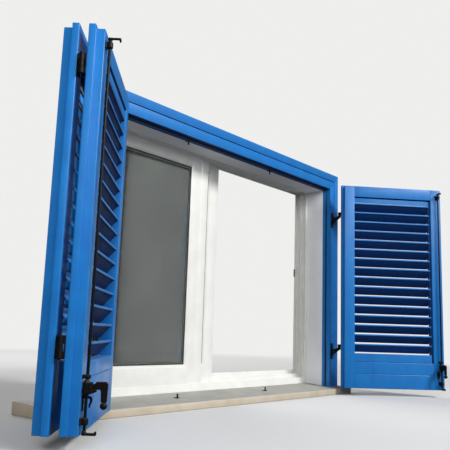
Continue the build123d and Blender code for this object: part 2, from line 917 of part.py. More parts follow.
def open_b(shape):
    """Place a closed piece of the second leaf in the open pose, folded against the first."""
    return open_a(turned(shape, fold_line, fold_pin_y, -leaf_b_fold))


def open_c(shape):
    """Place a closed piece of the third leaf in the open pose."""
    return turned(shape, pin_c_x, pin_y, leaf_c_open)


def fixed_nodes():
    """Everything that stays put."""
    jamb = make_frame_jamb()
    lining = make_lining_side()
    window_jamb = make_window_jamb()
    return {
        "sill": make_sill(),
        "shutter_frame_head": make_frame_head(),
        "shutter_frame_jamb_left": jamb,
        "shutter_frame_jamb_right": flipped(jamb),
        "shutter_frame_gasket": make_frame_gasket(),
        "hook_keepers": make_keepers(),
        "hinge_pintles": make_pintles(),
        "pintle_screws": make_pintle_screws(),
        "lining_left": lining,
        "lining_right": flipped(lining),
        "lining_head": make_lining_head(),
        "window_track": make_window_track(),
        "window_head": make_window_head(),
        "window_jamb_left": window_jamb,
        "window_jamb_right": flipped(window_jamb),
        "latch_strike": make_strike(),
    }


def sash_nodes():
    """The two sliding sashes and the latch."""
    left, right = make_sashes()
    body, thumb = make_latch()
    return {
        "sash_left_frame": left[0],
        "sash_left_glass": left[1],
        "sash_left_gasket": left[2],
        "sash_right_frame": right[0],
        "sash_right_glass": right[1],
        "sash_right_gasket": right[2],
        "sash_latch_body": body,
        "sash_latch_thumb": thumb,
    }


def rod_nodes(letter, rod_x, side, place):
    """Rod, hub, lever, guides and catch of one leaf."""
    return {
        f"rod_{letter}": place(make_rod(rod_x)),
        f"rod_{letter}_hub": place(make_hub(rod_x)),
        f"rod_{letter}_lever": place(make_lever(rod_x)),
        f"leaf_{letter}_rod_guides": place(make_guides(rod_x)),
        f"leaf_{letter}_lever_catch": place(make_catch(rod_x, side)),
    }


def leaf_nodes():
    """The three leaves with their hinges and rods, in the open pose."""
    nodes = {}
    first = make_leaf(leaf_a_left, leaf_a_right, leaf_a_right + flange_overhang)
    second = make_leaf(leaf_b_left, leaf_b_right, leaf_b_ext_right)
    straps = make_straps()
    screws = make_strap_screws()
    fold_first, fold_second = make_fold_hinges()
    for name, shape in first.items():
        nodes[f"leaf_a_{name}"] = open_a(shape)
        nodes[f"leaf_c_{name}"] = open_c(flipped(shape))
    for name, shape in second.items():
        nodes[f"leaf_b_{name}"] = open_b(shape)
    nodes["leaf_a_straps"] = open_a(straps)
    nodes["leaf_a_screws"] = open_a(screws)
    nodes["leaf_a_fold_hinges"] = open_a(fold_first)
    nodes["leaf_b_fold_hinges"] = open_b(fold_second)
    nodes["leaf_c_straps"] = open_c(flipped(straps))
    nodes["leaf_c_screws"] = open_c(flipped(screws))
    nodes.update(rod_nodes("a", rod_a_x, -1, open_a))
    nodes.update(rod_nodes("c", rod_c_x, 1, open_c))
    return nodes


def main():
    """Build every node and write it."""
    nodes = {**fixed_nodes(), **sash_nodes(), **leaf_nodes()}
    for name, shape in nodes.items():
        export_step(group([shape]), f"parts/{name}.step")
    print(len(nodes), "nodes")


main()
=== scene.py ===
"""Looks of a white sliding window with blue louvred shutters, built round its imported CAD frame."""

import logging
import math
from dataclasses import dataclass
from enum import Enum
from typing import Any, Callable, Sequence

import bmesh
import bpy
from mathutils import Matrix, Vector


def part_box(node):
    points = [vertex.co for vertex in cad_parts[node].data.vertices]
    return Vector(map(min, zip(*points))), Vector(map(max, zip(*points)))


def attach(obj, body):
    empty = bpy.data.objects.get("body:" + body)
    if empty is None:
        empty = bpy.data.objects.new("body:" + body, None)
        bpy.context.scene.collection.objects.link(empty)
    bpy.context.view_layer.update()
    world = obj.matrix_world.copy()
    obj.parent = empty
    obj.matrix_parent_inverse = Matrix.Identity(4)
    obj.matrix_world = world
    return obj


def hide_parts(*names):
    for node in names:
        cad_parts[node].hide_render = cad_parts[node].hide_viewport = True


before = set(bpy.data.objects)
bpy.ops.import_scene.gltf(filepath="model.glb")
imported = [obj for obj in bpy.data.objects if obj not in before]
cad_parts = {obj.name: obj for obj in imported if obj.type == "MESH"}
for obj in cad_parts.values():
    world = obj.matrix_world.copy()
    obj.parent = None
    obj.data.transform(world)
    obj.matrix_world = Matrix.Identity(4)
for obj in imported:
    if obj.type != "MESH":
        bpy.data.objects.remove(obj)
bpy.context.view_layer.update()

LOG = logging.getLogger("window_with_shutters")
MM = 0.001
Point = tuple[float, float]
Colour = tuple[float, float, float, float]


class Slot(Enum):
    """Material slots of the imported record."""

    BLUE = "blue_aluminium"
    DARK_BLUE = "dark_blue_aluminium"
    WHITE = "white_aluminium"
    BOARD = "white_board"
    STONE = "stone"
    GLASS = "glass"
    RUBBER = "black_rubber"
    BLACK = "black_steel"
    ZINC = "zinc_steel"


class Axis(Enum):
    """The direction that a bar runs in, with the places of its section's two coordinates."""

    X = (0, 1, 2)
    Y = (1, 0, 2)
    Z = (2, 0, 1)


# Places shared by several sub-assemblies, in millimetres as in the CAD source


@dataclass(frozen=True)
class Layout:
    """Places that the sub-assemblies share."""

    frame_top: float = 1234.62
    frame_face: float = 90.0
    sill_seat: float = 34.62
    sill_slope: float = 0.07
    lining_inner: float = 834.0
    lining_underside: float = 1136.62
    window_front: float = 146.0
    window_back: float = 222.0
    window_seat: float = 44.84
    track_top: float = 54.84
    web_underside: float = 1140.62
    pin_x: float = 848.0
    pin_y: float = -57.0
    fold_x: float = -274.0
    fold_y: float = -39.0
    leaf_ext: float = -26.0
    leaf_mid: float = -6.0
    leaf_int: float = 19.0
    leaf_foot: float = 38.62
    leaf_top: float = 1138.62
    rail_underside: float = 1081.62
    plank_top: float = 221.62
    rod_y: float = 31.0
    leaf_a_open: float = -138.5
    leaf_b_fold: float = -180.0
    leaf_c_open: float = 135.5

    def sill_top(self, depth: float) -> float:
        """Height of the sill's upper face at a depth."""
        return self.sill_seat + self.sill_slope * min(depth, self.window_front)


AT = Layout()


def about(x: float, y: float, degrees: float) -> Matrix:
    """A turn about a vertical line, in millimetres."""
    there = Matrix.Translation((x, y, 0))
    return there @ Matrix.Rotation(math.radians(degrees), 4, "Z") @ there.inverted()


MIRROR = Matrix.Scale(-1, 4, (1, 0, 0))
STILL = Matrix.Identity(4)
OPEN_A = about(-AT.pin_x, AT.pin_y, AT.leaf_a_open)
OPEN_B = OPEN_A @ about(AT.fold_x, AT.fold_y, AT.leaf_b_fold)
OPEN_C = about(AT.pin_x, AT.pin_y, AT.leaf_c_open) @ MIRROR
TURN_C = about(AT.pin_x, AT.pin_y, AT.leaf_c_open)


# Node trees


class Graph:
    """Short calls that add nodes to one tree and join them."""

    def __init__(self, tree: bpy.types.NodeTree) -> None:
        """Work on a tree."""
        self.tree = tree

    def add(
        self,
        kind: str,
        inputs: dict[str | int, Any] | None = None,
        **settings: Any,
    ) -> bpy.types.Node:
        """Add one node.

        Args:
            kind: The node's type name.
            inputs: A value or another node's output for each input named.
            settings: The node's own settings.

        Returns:
            The new node.
        """
        node = self.tree.nodes.new(kind)
        for name, value in settings.items():
            setattr(node, name, value)
        for key, value in (inputs or {}).items():
            self.feed(node.inputs[key], value)
        return node

    def feed(self, socket: bpy.types.NodeSocket, value: Any) -> None:
        """Join an output to a socket, or set the socket's own value.

        Args:
            socket: The input that is fed.
            value: Another node's output, or a plain value.
        """
        if isinstance(value, bpy.types.NodeSocket):
            self.tree.links.new(value, socket)
        else:
            socket.default_value = value

    def math(self, operation: str, *values: Any) -> bpy.types.NodeSocket:
        """Result of a Math node."""
        node = self.add("ShaderNodeMath", dict(enumerate(values)), operation=operation)
        return node.outputs[0]

    def noise(
        self,
        vector: Any,
        scale: Any,
        detail: float = 2.0,
        rough: float = 0.5,
    ) -> bpy.types.NodeSocket:
        """Value of a noise texture."""
        inputs = {"Vector": vector, "Scale": scale, "Detail": detail, "Roughness": rough}
        return self.add("ShaderNodeTexNoise", inputs).outputs[0]

    def remap(
        self,
        value: Any,
        low: float,
        high: float,
        to_low: float = 0.0,
        to_high: float = 1.0,
    ) -> bpy.types.NodeSocket:
        """A value moved from one range to another and clamped there."""
        inputs = {"Value": value, "From Min": low, "From Max": high, "To Min": to_low, "To Max": to_high}
        return self.add("ShaderNodeMapRange", inputs).outputs[0]

    def blend(self, share: Any, first: Any, second: Any) -> bpy.types.NodeSocket:
        """Two colours mixed by a share."""
        node = self.add("ShaderNodeMix", {0: share, 6: first, 7: second}, data_type="RGBA")
        return node.outputs[2]


def shader_group(
    name: str,
    scale: float,
    outputs: Sequence[str],
    fill: Callable[[Graph, Any], dict[str, Any]],
    amount: float | None = None,
) -> bpy.types.NodeTree:
    """Build a shader node group of masks and heights, or return the one that was built before.

    Args:
        name: The group's name.
        scale: Default of its scale input.
        outputs: Names of its outputs.
        fill: Makes the nodes from the group's input sockets and returns what each output gets.
        amount: Default of its amount input, if it has one.

    Returns:
        The node group.
    """
    known = bpy.data.node_groups.get(name)
    if known:
        return known
    tree = bpy.data.node_groups.new(name, "ShaderNodeTree")
    tree.interface.new_socket(name="Vector", in_out="INPUT", socket_type="NodeSocketVector")
    numbers = {"Scale": scale} if amount is None else {"Scale": scale, "Amount": amount}
    for label, value in numbers.items():
        socket = tree.interface.new_socket(name=label, in_out="INPUT", socket_type="NodeSocketFloat")
        socket.default_value = value
    for label in outputs:
        tree.interface.new_socket(name=label, in_out="OUTPUT", socket_type="NodeSocketFloat")
    graph = Graph(tree)
    source = graph.add("NodeGroupInput")
    results = fill(graph, source.outputs)
    graph.add("NodeGroupOutput", results)
    return tree


def orange_peel() -> bpy.types.NodeTree:
    """Make the group for the slight waviness of a sprayed or cast surface.

    Returns:
        The node group.
    """

    def fill(g: Graph, given: Any) -> dict[str, Any]:
        """Fine noise for the height, and broad noise for the tone.

        Args:
            g: The group's nodes.
            given: Its input sockets.

        Returns:
            What each output gets.
        """
        fine = g.noise(given["Vector"], given["Scale"], 3.0)
        broad = g.noise(given["Vector"], g.math("MULTIPLY", given["Scale"], 0.03), 2.0)
        return {"Height": fine, "Variation": broad}

    return shader_group("Orange peel", 400.0, ("Height", "Variation"), fill)


def settled_dust() -> bpy.types.NodeTree:
    """Make the group for dust on faces that look up, with masks of faces that look up or down.

    Returns:
        The node group.
    """

    def fill(g: Graph, given: Any) -> dict[str, Any]:
        """Masks from the height of the face's normal, the dust's broken up by noise.

        Args:
            g: The group's nodes.
            given: Its input sockets.

        Returns:
            What each output gets.
        """
        normal = g.add("ShaderNodeNewGeometry").outputs["Normal"]
        up = g.add("ShaderNodeSeparateXYZ", {0: normal}).outputs["Z"]
        facing = g.remap(up, 0.15, 0.9)
        cloud = g.remap(g.noise(given["Vector"], given["Scale"], 4.0, 0.6), 0.3, 0.7)
        mask = g.math("MULTIPLY", g.math("MULTIPLY", facing, cloud), given["Amount"])
        return {"Mask": mask, "Facing": facing, "Under": g.remap(up, -0.1, -0.75)}

    return shader_group("Settled dust", 20.0, ("Mask", "Facing", "Under"), fill, 0.4)


def rain_streaks() -> bpy.types.NodeTree:
    """Make the group for faint marks that run down a face.

    Returns:
        The node group.
    """

    def fill(g: Graph, given: Any) -> dict[str, Any]:
        """Noise that is drawn out along Z.

        Args:
            g: The group's nodes.
            given: Its input sockets.

        Returns:
            What each output gets.
        """
        inputs = {"Vector": given["Vector"], "Scale": (1.0, 1.0, 0.06)}
        stretched = g.add("ShaderNodeMapping", inputs).outputs[0]
        value = g.remap(g.noise(stretched, given["Scale"], 3.0, 0.65), 0.5, 0.75)
        return {"Mask": g.math("MULTIPLY", value, given["Amount"])}

    return shader_group("Rain streaks", 60.0, ("Mask",), fill, 0.3)


def edge_wear() -> bpy.types.NodeTree:
    """Make the group for worn edges, from the curvature stored on a dense mesh.

    Returns:
        The node group.
    """

    def fill(g: Graph, given: Any) -> dict[str, Any]:
        """The stored curvature, broken up by noise.

        Args:
            g: The group's nodes.
            given: Its input sockets.

        Returns:
            What each output gets.
        """
        bend = g.add("ShaderNodeAttribute", attribute_name="edge").outputs["Fac"]
        spots = g.noise(given["Vector"], given["Scale"], 4.0, 0.7)
        worn = g.remap(g.math("ADD", bend, g.math("MULTIPLY", spots, 0.6)), 0.95, 1.25)
        return {"Mask": g.math("MULTIPLY", worn, given["Amount"])}

    return shader_group("Edge wear", 300.0, ("Mask",), fill, 0.5)


def stone_body() -> bpy.types.NodeTree:
    """Make the group for the colour shares and relief of a fine limestone.

    Returns:
        The node group.
    """

    def fill(g: Graph, given: Any) -> dict[str, Any]:
        """Broad clouds, and specks where small cells meet coarse grit.

        Args:
            g: The group's nodes.
            given: Its input sockets.

        Returns:
            What each output gets.
        """
        broad = g.noise(given["Vector"], g.math("MULTIPLY", given["Scale"], 0.05), 5.0, 0.6)
        inputs = {"Vector": given["Vector"], "Scale": g.math("MULTIPLY", given["Scale"], 2.2)}
        cells = g.add("ShaderNodeTexVoronoi", inputs).outputs["Distance"]
        grit = g.noise(given["Vector"], given["Scale"], 6.0, 0.7)
        speck = g.math("MULTIPLY", g.remap(cells, 0.28, 0.12), g.remap(grit, 0.45, 0.6))
        height = g.math("SUBTRACT", grit, g.math("MULTIPLY", speck, 0.6))
        return {"Clouds": g.remap(broad, 0.3, 0.7), "Specks": speck, "Height": height}

    return shader_group("Stone body", 200.0, ("Clouds", "Specks", "Height"), fill)


def rgb(red: int, green: int, blue: int) -> Colour:
    """Turn an 8-bit display colour into a linear one.

    Args:
        red: Red, 0 to 255.
        green: Green.
        blue: Blue.

    Returns:
        The linear colour with full alpha.
    """
    parts = [c / 255 for c in (red, green, blue)]
    linear = [p / 12.92 if p <= 0.04045 else ((p + 0.055) / 1.055) ** 2.4 for p in parts]
    return (*linear, 1.0)


DUST_COLOUR = rgb(176, 172, 164)


@dataclass(frozen=True)
class Finish:
    """What every finish has in common."""

    name: str
    colour: Colour
    roughness: float

    def material(self) -> bpy.types.Material:
        """Build the finish as a material, once.

        Returns:
            The material.
        """
        known = bpy.data.materials.get(self.name)
        if known:
            return known
        made = bpy.data.materials.new(self.name)
        made.use_nodes = True
        graph = Graph(made.node_tree)
        made.node_tree.nodes.clear()
        inputs = {"Base Color": self.colour, "Roughness": self.roughness}
        shader = graph.add("ShaderNodeBsdfPrincipled", inputs)
        graph.add("ShaderNodeOutputMaterial", {"Surface": shader.outputs[0]})
        where = graph.add("ShaderNodeTexCoord").outputs["Object"]
        self.dress(graph, shader, where)
        return made

    def dress(self, graph: Graph, shader: bpy.types.Node, where: bpy.types.NodeSocket) -> None:
        """Add the finish's own detail to the shader.

        Args:
            graph: The material's nodes.
            shader: Its shader.
            where: The piece's Object coordinates.
        """

    @staticmethod
    def group(
        graph: Graph,
        tree: bpy.types.NodeTree,
        where: bpy.types.NodeSocket,
        scale: float,
        amount: float | None = None,
    ) -> Any:
        """Place a group in a material.

        Args:
            graph: The material's nodes.
            tree: The group.
            where: What its pattern is laid out on.
            scale: Scale of the pattern.
            amount: Strength of its mask, if it has that input.

        Returns:
            The group's outputs.
        """
        inputs = {"Vector": where, "Scale": scale}
        if amount is not None:
            inputs["Amount"] = amount
        return graph.add("ShaderNodeGroup", inputs, node_tree=tree).outputs

    @staticmethod
    def emboss(graph: Graph, shader: bpy.types.Node, height: Any, depth: float, strength: float) -> None:
        """Give the shader a relief of a depth in metres."""
        bump = graph.add("ShaderNodeBump", {"Height": height, "Distance": depth, "Strength": strength})
        graph.feed(shader.inputs["Normal"], bump.outputs[0])


@dataclass(frozen=True)
class PowderCoat(Finish):
    """Satin powder coat on aluminium, with dust, faint rain marks and, where set, painted shade on faces that
    look down.
    """

    shade: Colour
    mottle: float = 0.45
    peel_scale: float = 420.0
    peel_depth: float = 0.00012
    dust: float = 0.25
    dust_scale: float = 30.0
    dust_roughness: float = 0.35
    streaks: float = 0.4
    streak_scale: float = 55.0
    coat: float = 0.2
    coat_roughness: float = 0.2
    # These fields paint shade into faces that look down: a darker colour by the underside share, and a
    # rougher surface there.
    underside_shade_colour: Colour = (0.0, 0.0, 0.0, 1.0)
    underside: float = 0.0
    underside_roughness: float = 0.45

    def dress(self, graph: Graph, shader: bpy.types.Node, where: bpy.types.NodeSocket) -> None:
        """Add waviness, dust, rain marks and painted shade on faces that look down.

        Args:
            graph: The material's nodes.
            shader: Its shader.
            where: The piece's Object coordinates.
        """
        peel = self.group(graph, orange_peel(), where, self.peel_scale)
        dust = self.group(graph, settled_dust(), where, self.dust_scale, self.dust)
        rain = self.group(graph, rain_streaks(), where, self.streak_scale, self.streaks)
        mottled = graph.remap(peel["Variation"], 0.3, 0.7, 0.0, self.mottle)
        tone = graph.blend(mottled, self.colour, self.shade)
        marked = graph.blend(rain["Mask"], tone, self.shade)
        # Painted shade: faces that look down are darkened towards a deep blue, more the more they look down.
        under = graph.math("MULTIPLY", dust["Under"], self.underside)
        underside_shaded = graph.blend(under, marked, self.underside_shade_colour)
        graph.feed(shader.inputs["Base Color"], graph.blend(dust["Mask"], underside_shaded, DUST_COLOUR))
        rough = graph.remap(peel["Variation"], 0.2, 0.8, self.roughness - 0.05, self.roughness + 0.07)
        dusty = graph.math("ADD", rough, graph.math("MULTIPLY", dust["Mask"], self.dust_roughness))
        rougher = graph.math("ADD", dusty, graph.math("MULTIPLY", under, self.underside_roughness))
        graph.feed(shader.inputs["Roughness"], rougher)
        self.emboss(graph, shader, peel["Height"], self.peel_depth, 0.5)
        shader.inputs["Coat Weight"].default_value = self.coat
        shader.inputs["Coat Roughness"].default_value = self.coat_roughness


@dataclass(frozen=True)
class Stone(Finish):
    """Honed limestone with fine specks and a greyer top face."""

    pale: Colour
    speck: Colour
    top_grey: Colour
    grain_scale: float = 260.0
    grain_depth: float = 0.0006
    speck_share: float = 0.55
    top_grey_scale: float = 14.0
    top_grey_amount: float = 0.8
    least_top_grey: float = 0.65

    def dress(self, graph: Graph, shader: bpy.types.Node, where: bpy.types.NodeSocket) -> None:
        """Add clouds, specks, a greyer top face and relief.

        Args:
            graph: The material's nodes.
            shader: Its shader.
            where: The piece's Object coordinates.
        """
        body = self.group(graph, stone_body(), where, self.grain_scale)
        dust = self.group(graph, settled_dust(), where, self.top_grey_scale, self.top_grey_amount)
        tone = graph.blend(body["Clouds"], self.colour, self.pale)
        specked = graph.blend(graph.math("MULTIPLY", body["Specks"], self.speck_share), tone, self.speck)
        # Faces that look up turn greyer, unevenly across the face.
        uneven = graph.remap(dust["Mask"], 0.0, self.top_grey_amount, self.least_top_grey, 1.0)
        share = graph.math("MULTIPLY", dust["Facing"], uneven)
        graph.feed(shader.inputs["Base Color"], graph.blend(share, specked, self.top_grey))
        graph.feed(shader.inputs["Roughness"], graph.remap(body["Clouds"], 0.0, 1.0, 0.5, 0.7))
        self.emboss(graph, shader, body["Height"], self.grain_depth, 0.5)


@dataclass(frozen=True)
class Plaster(Finish):
    """Painted reveal with soft trowel marks."""

    stain: Colour
    wave_scale: float = 7.0
    grain_scale: float = 420.0
    relief_depth: float = 0.0012
    streaks: float = 0.3
    streak_scale: float = 25.0

    def dress(self, graph: Graph, shader: bpy.types.Node, where: bpy.types.NodeSocket) -> None:
        """Add broad waves, a fine grain and slight stains.

        Args:
            graph: The material's nodes.
            shader: Its shader.
            where: The piece's Object coordinates.
        """
        broad = graph.noise(where, self.wave_scale, 3.0, 0.55)
        grain = graph.noise(where, self.grain_scale, 3.0)
        rain = self.group(graph, rain_streaks(), where, self.streak_scale, self.streaks)
        tone = graph.blend(graph.remap(broad, 0.35, 0.75, 0.0, 0.4), self.colour, self.stain)
        graph.feed(shader.inputs["Base Color"], graph.blend(rain["Mask"], tone, self.stain))
        height = graph.math("ADD", graph.math("MULTIPLY", broad, 3.0), graph.math("MULTIPLY", grain, 0.25))
        self.emboss(graph, shader, height, self.relief_depth, 0.6)
        graph.feed(shader.inputs["Roughness"], graph.remap(grain, 0.3, 0.7, 0.65, 0.85))


@dataclass(frozen=True)
class Forged(Finish):
    """Black coated steel that shows bare metal where its edges are worn."""

    bare: Colour
    wear: float = 0.5
    wear_scale: float = 260.0
    wear_metal: float = 0.8
    grain_scale: float = 700.0
    grain_depth: float = 0.00025
    dust: float = 0.07
    dust_scale: float = 60.0
    specular: float = 0.3

    def dress(self, graph: Graph, shader: bpy.types.Node, where: bpy.types.NodeSocket) -> None:
        """Add a cast grain, worn edges and dust.

        Args:
            graph: The material's nodes.
            shader: Its shader.
            where: The piece's Object coordinates.
        """
        peel = self.group(graph, orange_peel(), where, self.grain_scale)
        worn = self.group(graph, edge_wear(), where, self.wear_scale, self.wear)
        dust = self.group(graph, settled_dust(), where, self.dust_scale, self.dust)
        metal = graph.blend(worn["Mask"], self.colour, self.bare)
        graph.feed(shader.inputs["Base Color"], graph.blend(dust["Mask"], metal, DUST_COLOUR))
        graph.feed(shader.inputs["Metallic"], graph.math("MULTIPLY", worn["Mask"], self.wear_metal))
        shader.inputs["Specular IOR Level"].default_value = self.specular
        rough = graph.remap(peel["Variation"], 0.25, 0.75, self.roughness - 0.06, self.roughness + 0.1)
        graph.feed(shader.inputs["Roughness"], rough)
        self.emboss(graph, shader, peel["Height"], self.grain_depth, 0.7)


@dataclass(frozen=True)
class Plated(Finish):
    """Zinc-plated steel or mill-finish aluminium."""

    tarnish: Colour
    spot_scale: float = 500.0
    spot_depth: float = 0.0001
    spot_roughness: float = 0.2

    def dress(self, graph: Graph, shader: bpy.types.Node, where: bpy.types.NodeSocket) -> None:
        """Add tarnish and fine scratches.

        Args:
            graph: The material's nodes.
            shader: Its shader.
            where: The piece's Object coordinates.
        """
        spots = graph.remap(graph.noise(where, self.spot_scale, 4.0, 0.6), 0.4, 0.7)
        graph.feed(shader.inputs["Base Color"], graph.blend(spots, self.colour, self.tarnish))
        shader.inputs["Metallic"].default_value = 1.0
        rough = graph.remap(spots, 0.0, 1.0, self.roughness, self.roughness + self.spot_roughness)
        graph.feed(shader.inputs["Roughness"], rough)
        self.emboss(graph, shader, spots, self.spot_depth, 0.4)


@dataclass(frozen=True)
class Rubber(Finish):
    """Matt weather seal with a dusty bloom."""

    bloom: Colour
    bloom_scale: float = 90.0
    bloom_roughness: float = 0.12
    grain_scale: float = 1200.0
    grain_depth: float = 0.0001

    def dress(self, graph: Graph, shader: bpy.types.Node, where: bpy.types.NodeSocket) -> None:
        """Add the bloom and a fine grain.

        Args:
            graph: The material's nodes.
            shader: Its shader.
            where: The piece's Object coordinates.
        """
        cloud = graph.remap(graph.noise(where, self.bloom_scale, 4.0, 0.6), 0.35, 0.7)
        graph.feed(shader.inputs["Base Color"], graph.blend(cloud, self.colour, self.bloom))
        grain = graph.noise(where, self.grain_scale, 2.0)
        self.emboss(graph, shader, grain, self.grain_depth, 0.5)
        rough = graph.remap(cloud, 0.0, 1.0, self.roughness, self.roughness + self.bloom_roughness)
        graph.feed(shader.inputs["Roughness"], rough)


@dataclass(frozen=True)
class Pane(Finish):
    """Grey float glass with a trace of dust."""

    ior: float = 1.46
    film_scale: float = 4.0
    film_roughness: float = 0.03
    film_tint: float = 0.93

    def dress(self, graph: Graph, shader: bpy.types.Node, where: bpy.types.NodeSocket) -> None:
        """Make it clear, and add a little uneven dust.

        Args:
            graph: The material's nodes.
            shader: Its shader.
            where: The piece's Object coordinates.
        """
        shader.inputs["Transmission Weight"].default_value = 1.0
        shader.inputs["IOR"].default_value = self.ior
        film = graph.noise(where, self.film_scale, 4.0, 0.6)
        rough = graph.remap(film, 0.45, 0.75, self.roughness, self.roughness + self.film_roughness)
        graph.feed(shader.inputs["Roughness"], rough)
        darker = tuple(self.film_tint * c for c in self.colour[:3]) + (1.0,)
        graph.feed(shader.inputs["Base Color"], graph.blend(graph.remap(film, 0.3, 0.7), self.colour, darker))


# The blue also paints shade into faces that look down, such as the slats' undersides.
BLUE = PowderCoat(
    "Blue powder coat",
    rgb(24, 122, 200),
    0.4,
    shade=rgb(14, 98, 176),
    coat=0.1,
    underside_shade_colour=rgb(2, 34, 96),
    underside=0.9,
)
# Painted shade: the slat carrier is given a much darker blue, standing in for the shade in its slot.
DARK_BLUE = PowderCoat("Blue coat in the slot", rgb(14, 56, 112), 0.5, shade=rgb(10, 40, 84), coat=0.0)
WHITE = PowderCoat("White powder coat", rgb(240, 240, 236), 0.32, shade=rgb(222, 222, 216), streaks=0.12)
SEALANT = PowderCoat("White sealant", rgb(226, 226, 220), 0.55, shade=rgb(200, 200, 192), coat=0.0)
PLASTER = Plaster("Painted reveal", rgb(243, 244, 247), 0.75, stain=rgb(224, 225, 229))
STONE = Stone(
    "Honed limestone",
    rgb(198, 186, 164),
    0.6,
    pale=rgb(214, 202, 182),
    speck=rgb(150, 136, 114),
    top_grey=rgb(152, 154, 152),
)
IRON = Forged("Black coated steel", rgb(11, 10, 10), 0.5, bare=rgb(80, 62, 52), wear=0.3)
ZINC = Plated("Zinc-plated steel", rgb(190, 190, 192), 0.3, tarnish=rgb(140, 138, 134))
SPACER = PowderCoat("Grey spacer bar", rgb(188, 196, 190), 0.5, shade=rgb(160, 170, 163), coat=0.0)
SEAL = Rubber("Black weather seal", rgb(26, 27, 28), 0.7, bloom=rgb(48, 49, 50))
GLASS = Pane("Grey float glass", rgb(209, 211, 210), 0.0)


# Meshes

WELD = 2e-6  # metres within which points are merged
CORNER_SHARE = 0.48  # most of a side that one rounded corner takes up
STRAIGHT = 0.01  # half the turn, in radians, below which a corner stays as it is
SHARPEST = 0.4  # keeps the inset of a sharp corner within 2.5 times its amount
LEAST_LENGTH = 1e-6  # below this a length counts as nothing
LEAST_RADIUS = 0.01  # millimetres, for the tip of a turned form
FLAT_DEGREES = 0.6  # faces that meet at less than this are merged
SHARP_DEGREES = 35.0  # edges that turn by more than this are eased
WEAR_GAIN = 3.0  # how fast the worn edge grows with the bend


def rounded(
    points: Sequence[Sequence[float]],
    radii: float | Sequence[float],
    steps: int = 3,
    closed: bool = True,
) -> list[Vector]:
    """Round the corners of an outline or path.

    Args:
        points: Corners in order, in two or three dimensions.
        radii: One radius for all corners, or one each.
        steps: Straight pieces in each arc.
        closed: Whether the last point joins the first.

    Returns:
        The new points.
    """
    given = [Vector(p) for p in points]
    count = len(given)
    result: list[Vector] = []
    for i, here in enumerate(given):
        radius = radii if isinstance(radii, (int, float)) else radii[i]
        if radius <= 0 or (not closed and i in (0, count - 1)):
            result.append(here)
            continue
        back = given[i - 1] - here
        ahead = given[(i + 1) % count] - here
        half = back.angle(ahead) / 2
        if half > math.pi / 2 - STRAIGHT:
            result.append(here)
            continue
        cut = min(radius / math.tan(half), CORNER_SHARE * back.length, CORNER_SHARE * ahead.length)
        size = cut * math.tan(half)
        middle = (back.normalized() + ahead.normalized()).normalized() * (size / math.sin(half))
        first = back.normalized() * cut - middle
        last = ahead.normalized() * cut - middle
        for step in range(steps + 1):
            share = step / steps
            total = first.angle(last)
            spread = math.sin(total)
            arm = (math.sin((1 - share) * total) * first + math.sin(share * total) * last) / spread
            result.append(here + middle + arm)
    return result


def inset(section: Sequence[Vector], amount: float) -> list[Vector]:
    """Move an outline inwards.

    Args:
        section: The outline, either way round.
        amount: How far it moves.

    Returns:
        The smaller outline, with as many points.
    """
    count = len(section)
    area = sum(section[i - 1].x * section[i].y - section[i].x * section[i - 1].y for i in range(count))
    side = 1.0 if area > 0 else -1.0
    result = []
    for i, here in enumerate(section):
        a = (here - section[i - 1]).normalized()
        b = (section[(i + 1) % count] - here).normalized()
        across = Vector((-(a.y + b.y), a.x + b.x))
        if across.length < LEAST_LENGTH:
            result.append(here.copy())
            continue
        across.normalize()
        reach = amount / max(SHARPEST, abs(across.dot(Vector((-a.y, a.x)))))
        result.append(here + across * reach * side)
    return result


def rectangle(
    u0: float,
    u1: float,
    v0: float,
    v1: float,
    radius: float = 1.0,
    steps: int = 2,
) -> list[Vector]:
    """A rectangle with rounded corners."""
    return rounded([(u0, v0), (u1, v0), (u1, v1), (u0, v1)], radius, steps)


Edge = float | Callable[[float, float], float]


